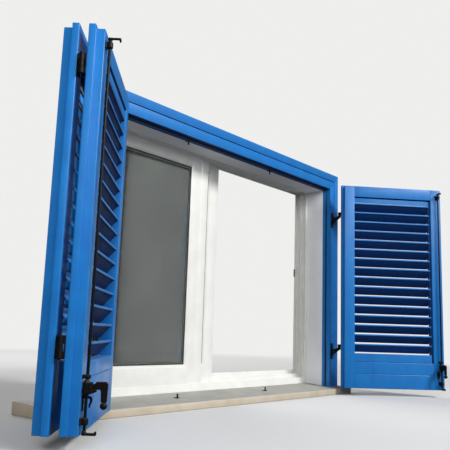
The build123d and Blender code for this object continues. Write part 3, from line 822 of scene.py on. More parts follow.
class Mesher:
    """Gathers faces in millimetres and makes one object of them."""

    def __init__(self) -> None:
        """Start empty."""
        self.bm = bmesh.new()

    def loft(self, rings: Sequence[Sequence[Vector]]) -> None:
        """Join rings of equal length, and close both ends.

        Args:
            rings: The rings' points, all going round the same way.
        """
        rows = [[self.bm.verts.new(p) for p in ring] for ring in rings]
        count = len(rows[0])
        for low, high in zip(rows, rows[1:]):
            for i in range(count):
                j = (i + 1) % count
                self.bm.faces.new((low[i], low[j], high[j], high[i]))
        self.bm.faces.new(rows[0][::-1])
        self.bm.faces.new(rows[-1])

    def bar(
        self,
        axis: Axis,
        section: Sequence[Vector],
        start: Edge,
        end: Edge,
        ease: float = 0.0,
    ) -> None:
        """A straight bar.

        Args:
            axis: The direction that it runs in.
            section: Its outline in the other two coordinates.
            start: Where it starts, as a number or for each point of the section.
            end: Where it ends, in the same way.
            ease: How far its end edges are taken off.
        """
        along, first, second = axis.value

        def ring(points: Sequence[Vector], level: Edge, shift: float) -> list[Vector]:
            """Lay the section's points at one level.

            Args:
                points: The section.
                level: The level, as for the bar's ends.
                shift: How far the points move along the bar.

            Returns:
                The points.
            """
            made = []
            for p in points:
                place = [0.0, 0.0, 0.0]
                place[along] = (level(p.x, p.y) if callable(level) else level) + shift
                place[first], place[second] = p.x, p.y
                made.append(Vector(place))
            return made

        rings = [ring(section, start, ease), ring(section, end, -ease)]
        if ease:
            small = inset(section, ease)
            rings = [ring(small, start, 0.0), *rings, ring(small, end, 0.0)]
        self.loft(rings)

    def slab(self, x: Point, y: Point, z: Point, radius: float = 0.8) -> None:
        """A block with all its edges eased."""
        self.bar(Axis.Z, rectangle(*x, *y, radius), z[0], z[1], radius)

    def turned(
        self,
        axis: Axis,
        centre: Sequence[float],
        profile: Sequence[Point],
        segments: int = 24,
    ) -> None:
        """A turned form.

        Args:
            axis: Its axis.
            centre: The point that heights are counted from.
            profile: Radius and height of each ring.
            segments: Sides of each ring.
        """
        along, first, second = axis.value
        rings = []
        for radius, height in profile:
            reach = max(radius, LEAST_RADIUS)
            ring = []
            for i in range(segments):
                angle = 2 * math.pi * i / segments
                place = list(centre)
                place[along] += height
                place[first] += reach * math.cos(angle)
                place[second] += reach * math.sin(angle)
                ring.append(Vector(place))
            rings.append(ring)
        self.loft(rings)

    def sweep(
        self,
        path: Sequence[Vector],
        section: Sequence[Vector],
        side: Sequence[float],
        scales: Sequence[float],
    ) -> None:
        """A section carried along a flat path.

        Args:
            path: Points of the path, all in one plane.
            section: Outline whose first coordinate lies along side.
            side: Direction square to the path's plane.
            scales: Size of the section at each point.
        """
        across = Vector(side)
        rings = []
        for i, here in enumerate(path):
            ahead = path[min(i + 1, len(path) - 1)] - path[max(i - 1, 0)]
            normal = ahead.normalized().cross(across)
            size = scales[i]
            rings.append([here + across * p.x * size + normal * p.y * size for p in section])
        self.loft(rings)

    def mesh(self, name: str, place: Matrix = STILL) -> bpy.types.Mesh:
        """Turn the gathered faces into a mesh in metres, smooth where the angles are small.

        Args:
            name: The mesh's name.
            place: Where the faces go, in millimetres.

        Returns:
            The mesh. The gathered faces are gone after that.
        """
        self.bm.transform(Matrix.Scale(MM, 4) @ place)
        bmesh.ops.remove_doubles(self.bm, verts=self.bm.verts[:], dist=WELD)
        bmesh.ops.recalc_face_normals(self.bm, faces=self.bm.faces[:])
        made = bpy.data.meshes.new(name)
        self.bm.to_mesh(made)
        self.bm.free()
        return smooth(made)


def smooth(mesh: bpy.types.Mesh, degrees: float = 32.0) -> bpy.types.Mesh:
    """Shade a mesh smooth and keep its sharp edges.

    Args:
        mesh: The mesh.
        degrees: Angle from which an edge stays sharp.

    Returns:
        The same mesh.
    """
    mesh.polygons.foreach_set("use_smooth", [True] * len(mesh.polygons))
    mesh.set_sharp_from_angle(angle=math.radians(degrees))
    return mesh


def object_of(name: str, mesh: bpy.types.Mesh) -> bpy.types.Object:
    """Make an object of a mesh.

    Args:
        name: The object's name.
        mesh: Its mesh.

    Returns:
        The object, linked, at the origin.
    """
    made = bpy.data.objects.new(name, mesh)
    bpy.context.scene.collection.objects.link(made)
    return made


def evaluated_mesh(source: bpy.types.Object) -> bpy.types.Mesh:
    """A plain copy of an object's mesh with its modifiers applied."""
    graph = bpy.context.evaluated_depsgraph_get()
    return bpy.data.meshes.new_from_object(source.evaluated_get(graph))


def drop(source: bpy.types.Object) -> None:
    """Remove a helper object."""
    bpy.data.objects.remove(source)


def fit(
    piece: bpy.types.Object,
    finish: Finish,
    body: str,
    replaces: Sequence[str] = (),
) -> bpy.types.Object:
    """Dress a finished piece and put it on its body.

    Args:
        piece: The piece, at the origin.
        finish: What it is finished in.
        body: The CAD body that it rides on.
        replaces: CAD nodes that it stands for.

    Returns:
        The piece.
    """
    piece.data.materials.clear()
    piece.data.materials.append(finish.material())
    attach(piece, body)
    if replaces:
        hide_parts(*replaces)
    LOG.info("%s rides on %s", piece.name, body)
    return piece


def finished(
    name: str,
    maker: Mesher,
    finish: Finish,
    body: str,
    replaces: Sequence[str] = (),
    place: Matrix = STILL,
) -> bpy.types.Object:
    """Turn gathered faces into a dressed piece on its body.

    Args:
        name: Name of the piece.
        maker: Its faces.
        finish: What it is finished in.
        body: The CAD body that it rides on.
        replaces: CAD nodes that it stands for.
        place: Where it goes, in millimetres.

    Returns:
        The piece.
    """
    return fit(object_of(name, maker.mesh(name, place)), finish, body, replaces)


def store_edges(mesh: bpy.types.Mesh) -> None:
    """Store how sharply a dense mesh bends outwards at each point, for the worn edges.

    Args:
        mesh: The mesh, which gets the attribute.
    """
    bm = bmesh.new()
    bm.from_mesh(mesh)
    values = []
    for vert in bm.verts:
        ring = [e.other_vert(vert).co for e in vert.link_edges]
        middle = sum(ring, Vector()) / max(1, len(ring))
        span = sum((p - vert.co).length for p in ring) / max(1, len(ring))
        lift = (vert.co - middle).dot(vert.normal) / max(span, LEAST_LENGTH * MM)
        values.append(min(1.0, max(0.0, WEAR_GAIN * lift)))
    bm.free()
    attribute = mesh.attributes.new("edge", "FLOAT", "POINT")
    attribute.data.foreach_set("value", values)


def forged(name: str, maker: Mesher, place: Matrix, voxel: float = 0.8, rounds: int = 4) -> bpy.types.Object:
    """Melt overlapping forms together, as in a casting or forging.

    Args:
        name: Name of the piece.
        maker: The forms.
        place: Where they go.
        voxel: Size of the new faces, in millimetres.
        rounds: How often the result is smoothed.

    Returns:
        The new object.
    """
    rough = object_of(name + "_rough", maker.mesh(name, place))
    remesh = rough.modifiers.new("Melt", "REMESH")
    remesh.mode = "VOXEL"
    remesh.voxel_size = voxel * MM
    relax = rough.modifiers.new("Relax", "SMOOTH")
    relax.factor = 0.5
    relax.iterations = rounds
    mesh = evaluated_mesh(rough)
    drop(rough)
    mesh.name = name
    mesh.polygons.foreach_set("use_smooth", [True] * len(mesh.polygons))
    store_edges(mesh)
    return object_of(name, mesh)


def softened(
    node: str,
    ease: float,
    finish: Finish,
    body: str,
) -> bpy.types.Object:
    """A copy of a CAD node with its faces merged and its edges eased.

    Args:
        node: The CAD node.
        ease: Width of the eased edges, in millimetres.
        finish: What it is finished in.
        body: The body that it rides on.

    Returns:
        The new piece, which stands for the node.
    """
    bm = bmesh.new()
    bm.from_mesh(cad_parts[node].data)
    bmesh.ops.remove_doubles(bm, verts=bm.verts[:], dist=WELD)
    flat = math.radians(FLAT_DEGREES)
    bmesh.ops.dissolve_limit(bm, angle_limit=flat, verts=bm.verts[:], edges=bm.edges[:])
    limit = math.radians(SHARP_DEGREES)
    sharp = [e for e in bm.edges if len(e.link_faces) == 2 and e.calc_face_angle(0.0) > limit]
    bmesh.ops.bevel(
        bm,
        geom=sharp,
        offset=ease * MM,
        segments=2,
        profile=0.6,
        affect="EDGES",
        clamp_overlap=True,
    )
    mesh = bpy.data.meshes.new(f"{node}_eased")
    bm.to_mesh(mesh)
    bm.free()
    return fit(object_of(mesh.name, smooth(mesh)), finish, body, (node,))


# Repeated pieces


class GeometryTree:
    """A Geometry Nodes tree with named inputs, and the plain mesh that comes out of it."""

    def __init__(self, name: str) -> None:
        """Start a tree that takes and gives geometry.

        Args:
            name: The tree's name.
        """
        self.tree = bpy.data.node_groups.new(name, "GeometryNodeTree")
        self.graph = Graph(self.tree)
        self.names: dict[str, str] = {}
        for way in ("INPUT", "OUTPUT"):
            self.tree.interface.new_socket(name="Geometry", in_out=way, socket_type="NodeSocketGeometry")
        self.source = self.graph.add("NodeGroupInput")

    def ask(self, name: str, kind: str) -> bpy.types.NodeSocket:
        """Add a named input.

        Args:
            name: Its name.
            kind: Its socket type.

        Returns:
            Its output inside the tree.
        """
        socket = self.tree.interface.new_socket(name=name, in_out="INPUT", socket_type=kind)
        self.names[name] = socket.identifier
        return self.source.outputs[name]

    def close(self, geometry: bpy.types.NodeSocket, material: bpy.types.NodeSocket) -> None:
        """End the tree: real geometry with its material.

        Args:
            geometry: What the tree has made.
            material: The material that it gets.
        """
        real = self.graph.add("GeometryNodeRealizeInstances", {"Geometry": geometry}).outputs[0]
        inputs = {"Geometry": real, "Material": material}
        painted = self.graph.add("GeometryNodeSetMaterial", inputs).outputs[0]
        self.graph.add("NodeGroupOutput", {"Geometry": painted})

    def make(
        self,
        name: str,
        host: bpy.types.Mesh,
        values: dict[str, Any],
        place: Matrix = STILL,
    ) -> bpy.types.Object:
        """Run the tree once.

        Args:
            name: Name of the new piece.
            host: Mesh that the tree is given.
            values: Value of each named input.
            place: Where the result goes, in millimetres.

        Returns:
            The result as a plain object at the origin.
        """
        carrier = object_of(name + "_host", host)
        modifier = carrier.modifiers.new("Tree", "NODES")
        modifier.node_group = self.tree
        for key, value in values.items():
            modifier[self.names[key]] = value
        bpy.context.view_layer.update()
        mesh = evaluated_mesh(carrier)
        carrier.modifiers.remove(modifier)
        drop(carrier)
        mesh.name = name
        metres = Matrix.Scale(MM, 4) @ place @ Matrix.Scale(1 / MM, 4)
        mesh.transform(metres)
        if metres.determinant() < 0:
            mesh.flip_normals()
        return object_of(name, smooth(mesh))


def louvre_tree() -> GeometryTree:
    """Build the tree that copies a slat, with its end cap, at an even pitch up a leaf.

    Returns:
        The tree.
    """
    made = GeometryTree("Louvre")
    slat = made.ask("Slat", "NodeSocketObject")
    cap = made.ask("End cap", "NodeSocketObject")
    count = made.ask("Count", "NodeSocketInt")
    pitch = made.ask("Pitch", "NodeSocketFloat")
    material = made.ask("Material", "NodeSocketMaterial")
    g = made.graph
    step = g.add("ShaderNodeCombineXYZ", {"Z": pitch}).outputs[0]
    line = g.add("GeometryNodeMeshLine", {"Count": count, "Offset": step}, mode="OFFSET").outputs[0]
    both = g.add("GeometryNodeJoinGeometry")
    for shape in (slat, cap):
        body = g.add("GeometryNodeObjectInfo", {"Object": shape}).outputs["Geometry"]
        copies = g.add("GeometryNodeInstanceOnPoints", {"Points": line, "Instance": body}).outputs[0]
        g.tree.links.new(copies, both.inputs[0])
    made.close(both.outputs[0], material)
    return made


def fastener_tree() -> GeometryTree:
    """Build the tree that copies a fastener to the host's points, each turned by chance on its axis.

    Returns:
        The tree.
    """
    made = GeometryTree("Fasteners")
    shape = made.ask("Fastener", "NodeSocketObject")
    seed = made.ask("Seed", "NodeSocketInt")
    material = made.ask("Material", "NodeSocketMaterial")
    g = made.graph
    way = g.add("GeometryNodeInputNamedAttribute", {"Name": "facing"}, data_type="FLOAT_VECTOR").outputs[0]
    upright = g.add("FunctionNodeAlignRotationToVector", {"Vector": way}, axis="Z").outputs[0]
    chance = g.add("FunctionNodeRandomValue", data_type="FLOAT")
    g.feed(chance.inputs[3], math.pi)
    g.feed(chance.inputs["Seed"], seed)
    inputs = {"Axis": (0, 0, 1), "Angle": chance.outputs[1]}
    spin = g.add("FunctionNodeAxisAngleToRotation", inputs).outputs[0]
    turn = g.add("FunctionNodeRotateRotation", {0: upright, 1: spin}, rotation_space="LOCAL").outputs[0]
    body = g.add("GeometryNodeObjectInfo", {"Object": shape}).outputs["Geometry"]
    inputs = {"Points": made.source.outputs["Geometry"], "Instance": body, "Rotation": turn}
    copies = g.add("GeometryNodeInstanceOnPoints", inputs).outputs[0]
    made.close(copies, material)
    return made


@dataclass
class Fasteners:
    """Screw heads with a raised cross, wherever the hardware is fixed."""

    head_radius: float = 3.6
    head_height: float = 1.6
    cross_width: float = 1.1
    cross_rise: float = 0.12
    seed: int = 7

    def __post_init__(self) -> None:
        """Build the tree that places them."""
        self.tree = fastener_tree()

    def screw(self, scale: float) -> bpy.types.Object:
        """Make one screw head that stands on the XY plane.

        Args:
            scale: Size against the standard head.

        Returns:
            The head: a low dome with a cross of two bars on top.
        """
        maker = Mesher()
        r, h = self.head_radius * scale, self.head_height * scale
        dome = [
            (r * 0.96, -0.3),
            (r, 0.15 * h),
            (r * 0.93, 0.5 * h),
            (r * 0.75, 0.82 * h),
            (r * 0.5, 0.97 * h),
        ]
        maker.turned(Axis.Z, (0, 0, 0), dome, 20)
        arm, half = 0.55 * r, self.cross_width * scale / 2
        for x, y in ((arm, half), (half, arm)):
            maker.bar(Axis.Z, rectangle(-x, x, -y, y, 0.2, 1), 0.97 * h, h + self.cross_rise)
        return object_of("screw_pattern", maker.mesh("screw_pattern"))

    def set(
        self,
        name: str,
        body: str,
        points: Sequence[Sequence[float]],
        facing: Sequence[float],
        place: Matrix,
        scale: float = 1.0,
        finish: Finish = ZINC,
        replaces: Sequence[str] = (),
    ) -> bpy.types.Object:
        """Place screw heads.

        Args:
            name: Name of the piece.
            body: The body that they ride on.
            points: Where their undersides are, in millimetres.
            facing: The way that they look.
            place: Where the group goes.
            scale: Size against the standard head.
            finish: Their finish.
            replaces: CAD nodes that they stand for.

        Returns:
            The piece.
        """
        host = bpy.data.meshes.new(name)
        host.from_pydata([Vector(p) * MM for p in points], [], [])
        attribute = host.attributes.new("facing", "FLOAT_VECTOR", "POINT")
        attribute.data.foreach_set("vector", [c for _ in points for c in facing])
        pattern = self.screw(scale)
        values = {"Fastener": pattern, "Seed": self.seed, "Material": finish.material()}
        piece = self.tree.make(name, host, values, place)
        drop(pattern)
        return fit(piece, finish, body, replaces)


# Sub-assemblies


@dataclass
class Surround:
    """Stone sill, reveal linings and the fixed shutter frame with its seal."""

    sill_ease: float = 1.6
    frame_ease: float = 0.9
    seal_ease: float = 1.4
    lining_ease: float = 1.5
    keeper_x: tuple[float, float] = (-325.0, 285.0)
    keeper_y: float = 28.0
    keeper_radius: float = 3.5
    keeper_length: float = 19.0
    head_recess: float = 10.0
    foot_half: float = 10.0
    foot_depth: float = 17.0
    foot_thickness: float = 3.0
    foot_sunk: float = 0.8

    def build(self) -> None:
        """Build every fixed piece outside the window."""
        softened("sill", self.sill_ease, STONE, "frame")
        for node in ("shutter_frame_head", "shutter_frame_jamb_left", "shutter_frame_jamb_right"):
            softened(node, self.frame_ease, BLUE, "frame")
        softened("shutter_frame_gasket", self.seal_ease, SEAL, "frame")
        for node in ("lining_left", "lining_right", "lining_head"):
            softened(node, self.lining_ease, PLASTER, "frame")
        self.keepers()

    def keepers(self) -> None:
        """Build the four pins that the hooks catch, with rounded tips and necks."""
        maker = Mesher()
        r, length, half = self.keeper_radius, self.keeper_length, self.foot_half
        pin = [(r + 0.5, 2.2), (r, 2.9), (r, length - 2.0), (r * 0.8, length - 0.6), (r * 0.4, length)]
        head = AT.frame_top - AT.frame_face - self.head_recess
        y0 = self.keeper_y - r - 1.0
        for x in self.keeper_x:
            for foot, way in ((head, -1.0), (AT.sill_top(self.keeper_y), 1.0)):
                levels = sorted((foot - way * self.foot_sunk, foot + way * self.foot_thickness))
                maker.slab((x - half, x + half), (y0, y0 + self.foot_depth), (levels[0], levels[1]), 0.9)
                maker.turned(Axis.Z, (x, self.keeper_y, foot), [(a, way * b) for a, b in pin], 20)
        finished("hook_keeper_pins", maker, IRON, "frame", ("hook_keepers",))


@dataclass
class JambHinges:
    """Pintles on the shutter frame and straps on the leaves."""

    heights: tuple[float, float] = (150.0, 887.0)
    plate: tuple[float, float] = (-877.0, -851.0)
    plate_height: float = 83.0
    plate_thickness: float = 4.0
    screw_x: float = -868.5
    screw_margin: float = 10.8
    arm: tuple[float, float] = (-860.0, -852.0)
    arm_rise: float = 14.0
    block_rise: float = 51.0
    block_height: float = 14.0
    knuckle_radius: float = 8.0
    knuckle_height: float = 14.7
    play: float = 0.3
    pin_radius: float = 3.9
    bore_radius: float = 4.1
    bore_rim: float = 4.4
    strap_start: float = 3.0
    strap_end: float = -783.0
    strap_thickness: float = 3.0
    strap_height: float = 26.0
    strap_screws: tuple[float, float] = (-824.2, -796.5)
    wing_width: float = 7.0

    def pintles(self, screws: Fasteners) -> None:
        """Build the four pintles, forged in one piece each, with their screws.

        Args:
            screws: Makes the screw heads.
        """
        maker = Mesher()
        r, pin_r = self.knuckle_radius, self.pin_radius
        y0 = -self.plate_thickness
        root = y0 + 1.0
        for height in self.heights:
            z0 = AT.sill_seat + height
            foot = z0 + self.block_rise
            top = foot + self.block_height
            tip = top + self.knuckle_height
            maker.slab(self.plate, (y0, 0.0), (z0, z0 + self.plate_height), 1.2)
            arm = [(root, z0 + self.arm_rise), (root, foot - 2.0), (AT.pin_y, top), (AT.pin_y, foot)]
            maker.bar(Axis.X, rounded(arm, 3.0), *self.arm, ease=1.0)
            boss = [(r - 1.2, foot), (r, foot + 1.2), (r, top - 0.6), (r - 0.6, top)]
            maker.turned(Axis.Z, (-AT.pin_x, AT.pin_y, 0), boss, 28)
            pin = [(pin_r, top - 2.0), (pin_r, tip - 1.0), (pin_r - 1.2, tip + 0.3)]
            maker.turned(Axis.Z, (-AT.pin_x, AT.pin_y, 0), pin, 20)
        left = forged("hinge_pintles_left", maker, STILL, 0.9, 2)
        mesh = left.data.copy()
        mesh.transform(MIRROR)
        mesh.flip_normals()
        right = object_of("hinge_pintles_right", mesh)
        for piece in (left, right):
            fit(piece, IRON, "frame", ("hinge_pintles",))
        points = [
            (side * self.screw_x, y0, AT.sill_seat + height + rise)
            for height in self.heights
            for rise in (self.screw_margin, self.plate_height - self.screw_margin)
            for side in (1, -1)
        ]
        screws.set("pintle_screw_heads", "frame", points, (0, -1, 0), STILL, 1.0, ZINC, ("pintle_screws",))

    def straps(self, letter: str, place: Matrix, screws: Fasteners) -> None:
        """Build both straps of one leaf, with a spoon-shaped end.

        Args:
            letter: The leaf.
            place: Its open pose.
            screws: Makes the screw heads.
        """
        maker = Mesher()
        points = []
        r, half = self.knuckle_radius, self.strap_height / 2
        y0 = AT.leaf_ext - self.strap_thickness
        start = -AT.pin_x + self.strap_start
        for height in self.heights:
            z0 = AT.sill_seat + height + self.block_rise + self.block_height + self.play
            z1 = z0 + self.knuckle_height
            middle = (z0 + z1) / 2
            corners = [
                (start, middle - half),
                (self.strap_end, middle - half),
                (self.strap_end, middle + half),
                (start, middle + half),
            ]
            maker.bar(Axis.Y, rounded(corners, [2.0, half - 0.5, half - 0.5, 2.0], 8), y0, AT.leaf_ext, 0.7)
            maker.slab((start, start + self.wing_width), (AT.pin_y, y0 + 1.0), (z0, z1), 0.8)
            sleeve = [
                (r - 1.0, z0),
                (r, z0 + 1.0),
                (r, z1 - 1.0),
                (r - 1.0, z1),
                (self.bore_rim, z1),
                (self.bore_radius, z1 - 0.4),
            ]
            maker.turned(Axis.Z, (-AT.pin_x, AT.pin_y, 0), sleeve, 28)
            points += [(x, y0, middle) for x in self.strap_screws]
        body = f"leaf_{letter}"
        finished(f"{body}_strap_hinges", maker, IRON, body, (f"{body}_straps",), place)
        screws.set(f"{body}_screw_heads", body, points, (0, -1, 0), place, 1.0, ZINC, (f"{body}_screws",))


@dataclass
class WindowFrame:
    """Outer frame of the sliding window with its tracks, seals and strike."""

    ease: float = 0.9
    bead: float = 4.0
    bead_sunk: float = 0.2
    strike_ease: float = 0.5
    strike_x: float = 808.0
    strike_setback: float = 2.7
    strike_rise: float = 597.0
    strike_screws: tuple[float, float] = (9.0, 33.0)

    def build(self, screws: Fasteners) -> None:
        """Build the frame, the sealant and the strike.

        Args:
            screws: Makes the screw heads.
        """
        for node in ("window_track", "window_head", "window_jamb_left", "window_jamb_right"):
            softened(node, self.ease, WHITE, "frame")
        softened("latch_strike", self.strike_ease, IRON, "frame")
        self.sealant()
        y = AT.window_back - self.strike_setback
        z = AT.window_seat + self.strike_rise
        points = [(self.strike_x, y, z + rise) for rise in self.strike_screws]
        screws.set("strike_screw_heads", "frame", points, (-1, 0, 0), STILL, 0.5)

    def sealant(self) -> None:
        """Build a thin bead where the window meets the sill and the reveal."""
        maker = Mesher()
        b, sunk = self.bead, self.bead_sunk
        x, y = AT.lining_inner, AT.window_front
        low, high = AT.window_seat, AT.lining_underside
        foot = [
            Vector((y + sunk, low - 0.1)),
            Vector((y - b, low - b * AT.sill_slope - 0.1)),
            Vector((y - 0.35 * b, low + 0.3 * b)),
            Vector((y + sunk, low + b)),
        ]
        maker.bar(Axis.X, foot, -x, x)
        side = [
            Vector((x + sunk, y + sunk)),
            Vector((x - b, y + sunk)),
            Vector((x - 0.3 * b, y - 0.3 * b)),
            Vector((x + sunk, y - b)),
        ]
        for mirrored in (1.0, -1.0):
            maker.bar(Axis.Z, [Vector((mirrored * p.x, p.y)) for p in side], low, high)
        head = [
            Vector((y + sunk, high + sunk)),
            Vector((y + sunk, high - b)),
            Vector((y - 0.3 * b, high - 0.3 * b)),
            Vector((y - b, high + sunk)),
        ]
        maker.bar(Axis.X, head, -x, x)
        finished("window_sealant", maker, SEALANT, "frame")


@dataclass
class Sash:
    """One glazed sash: two stiles, two rails, seals and a double-glazed unit."""

    side: str
    left: float
    right: float
    front: float
    back: float
    left_stile: float
    right_stile: float
    groove: tuple[float, float] | None = None
    groove_depth: float = 2.0
    groove_slope: float = 2.5
    foot: float = AT.track_top + 0.3
    head: float = AT.web_underside - 4.0
    bottom_rail: float = 108.0
    top_rail: float = 66.0
    bead_width: float = 13.0
    bead_depth: float = 7.0
    room_bead: float = 15.0
    room_step: float = 1.2
    outer_radius: float = 1.4
    bead_radii: tuple[float, ...] = (1.5, 1.2, 0.8, 0.3, 0.6)
    joint: float = 0.12
    seat: float = 12.0
    pane: float = 4.0
    spacer: float = 8.0
    spacer_sight: float = 8.5
    spacer_play: float = 0.1
    seal_width: float = 4.0
    seal_depth: float = 3.0

    def __post_init__(self) -> None:
        """Work out the glazed opening."""
        self.x0 = self.left + self.left_stile
        self.x1 = self.right - self.right_stile
        self.z0 = self.foot + self.bottom_rail
        self.z1 = self.head - self.top_rail
        self.glass_front = (self.front + self.back - 2 * self.pane - self.spacer) / 2
        self.body = f"sash_{self.side}"

    def build(self) -> None:
        """Build the sash."""
        self.members()
        self.glazing()
        self.seals()

    def section(
        self,
        outer: float,
        inner: float,
        sign: float,
        groove: tuple[float, float] | None = None,
    ) -> list[Vector]:
        """Draw the section of a stile or rail, with the bead on its room side.

        Args:
            outer: Place of its outer edge.
            inner: Place of its edge at the glass.
            sign: One where the glass lies at the higher side, else minus one.
            groove: Where a groove in its front starts and ends, seen from the glass.

        Returns:
            The outline, as places across the member and depths.
        """
        f, b = self.front, self.back
        step, lip = b - self.room_step, inner - sign * self.room_bead
        points = [(outer, f)]
        radii = [self.outer_radius]
        if groove:
            far, near = groove
            slope, floor = self.groove_slope, f + self.groove_depth
            points += [(near, f), (near - slope, floor), (far + slope, floor), (far, f)]
            radii += [1.0, 1.6, 1.6, 1.0]
        points += [
            (inner - sign * self.bead_width, f),
            (inner, f + self.bead_depth),
            (inner, step),
            (lip, step),
            (lip, b),
            (outer, b),
        ]
        return rounded(points, [*radii, *self.bead_radii, self.outer_radius], 2)

    def members(self) -> None:
        """Build stiles that run full height, with the rails let in between them."""
        maker = Mesher()
        left = self.section(self.left, self.x0, 1.0)
        right = self.section(self.right, self.x1, -1.0, self.groove)
        for stile in (left, right):
            maker.bar(Axis.Z, stile, self.foot, self.head, 0.8)

        def let_in(depth: float) -> float:
            """How far a rail reaches past the glazed opening at a depth, to meet the beads."""
            share = min(1.0, max(0.0, (depth - self.front) / self.bead_depth))
            return self.bead_width * (1.0 - share)

        for outer, inner, sign in ((self.foot, self.z0, 1.0), (self.head, self.z1, -1.0)):
            maker.bar(
                Axis.X,
                [Vector((p.y, p.x)) for p in self.section(outer, inner, sign)],
                lambda depth, _: self.x0 - let_in(depth) + self.joint,
                lambda depth, _: self.x1 + let_in(depth) - self.joint,
            )
        finished(f"{self.body}_members", maker, WHITE, self.body, (f"{self.body}_frame",))

    def glazing(self) -> None:
        """Build two panes with a spacer bar between them."""
        x = (self.x0 - self.seat, self.x1 + self.seat)
        z = (self.z0 - self.seat, self.z1 + self.seat)
        near = self.glass_front
        far = near + self.pane + self.spacer
        panes = Mesher()
        for y in (near, far):
            panes.slab(x, (y, y + self.pane), z, 0.4)
        finished(f"{self.body}_panes", panes, GLASS, self.body, (f"{self.body}_glass",))
        bars = Mesher()
        y0, y1 = near + self.pane + self.spacer_play, far - self.spacer_play
        width = self.seat + self.spacer_sight
        for u0, u1 in ((x[0], x[0] + width), (x[1] - width, x[1])):
            bars.bar(Axis.Z, rectangle(u0, u1, y0, y1, 0.5, 1), z[0], z[1])
        for u0, u1 in ((z[0], z[0] + width), (z[1] - width, z[1])):
            bars.bar(Axis.X, rectangle(y0, y1, u0, u1, 0.5, 1), x[0] + width, x[1] - width)
        finished(f"{self.body}_spacer", bars, SPACER, self.body)

    def seals(self) -> None:
        """Build rubber glazing seals on both faces of the glass."""
        maker = Mesher()
        wide, deep = self.seal_width, self.seal_depth
        near = self.glass_front
        far = near + 2 * self.pane + self.spacer
        for y0, y1 in ((near - deep, near), (far, far + deep)):
            for a, b in ((self.x0, self.x0 + wide), (self.x1 - wide, self.x1)):
                maker.bar(Axis.Z, rectangle(a, b, y0, y1, 1.2, 3), self.z0, self.z1)
            for a, b in ((self.z0, self.z0 + wide), (self.z1 - wide, self.z1)):
                maker.bar(Axis.X, rectangle(y0, y1, a, b, 1.2, 3), self.x0 + wide, self.x1 - wide)
        finished(f"{self.body}_seals", maker, SEAL, self.body, (f"{self.body}_gasket",))


@dataclass
class Latch:
    """Slide latch on the room side of the right-hand sash."""

    body_ease: float = 1.2
    thumb_ribs: int = 6
    rib_height: float = 1.2
    rib_depth: float = 2.0
    rib_share: float = 0.55
    side_margin: float = 0.6
    end_margin: float = 1.5

    def build(self) -> None:
        """Dress the body and build a ribbed thumb piece."""
        softened("sash_latch_body", self.body_ease, IRON, "sash_right")
        low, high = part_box("sash_latch_thumb")
        x, y, z = ((low[i] / MM, high[i] / MM) for i in range(3))
        maker = Mesher()
        maker.slab(x, (y[0], y[1] - self.rib_height), z, 0.9)
        width = (x[0] + self.side_margin, x[1] - self.side_margin)
        span = (z[1] - z[0] - 2 * self.end_margin) / self.thumb_ribs
        for i in range(self.thumb_ribs):
            start = z[0] + self.end_margin + i * span
            maker.slab(width, (y[1] - self.rib_depth, y[1]), (start, start + self.rib_share * span), 0.5)
        finished("sash_latch_thumb_piece", maker, IRON, "latch", ("sash_latch_thumb",))


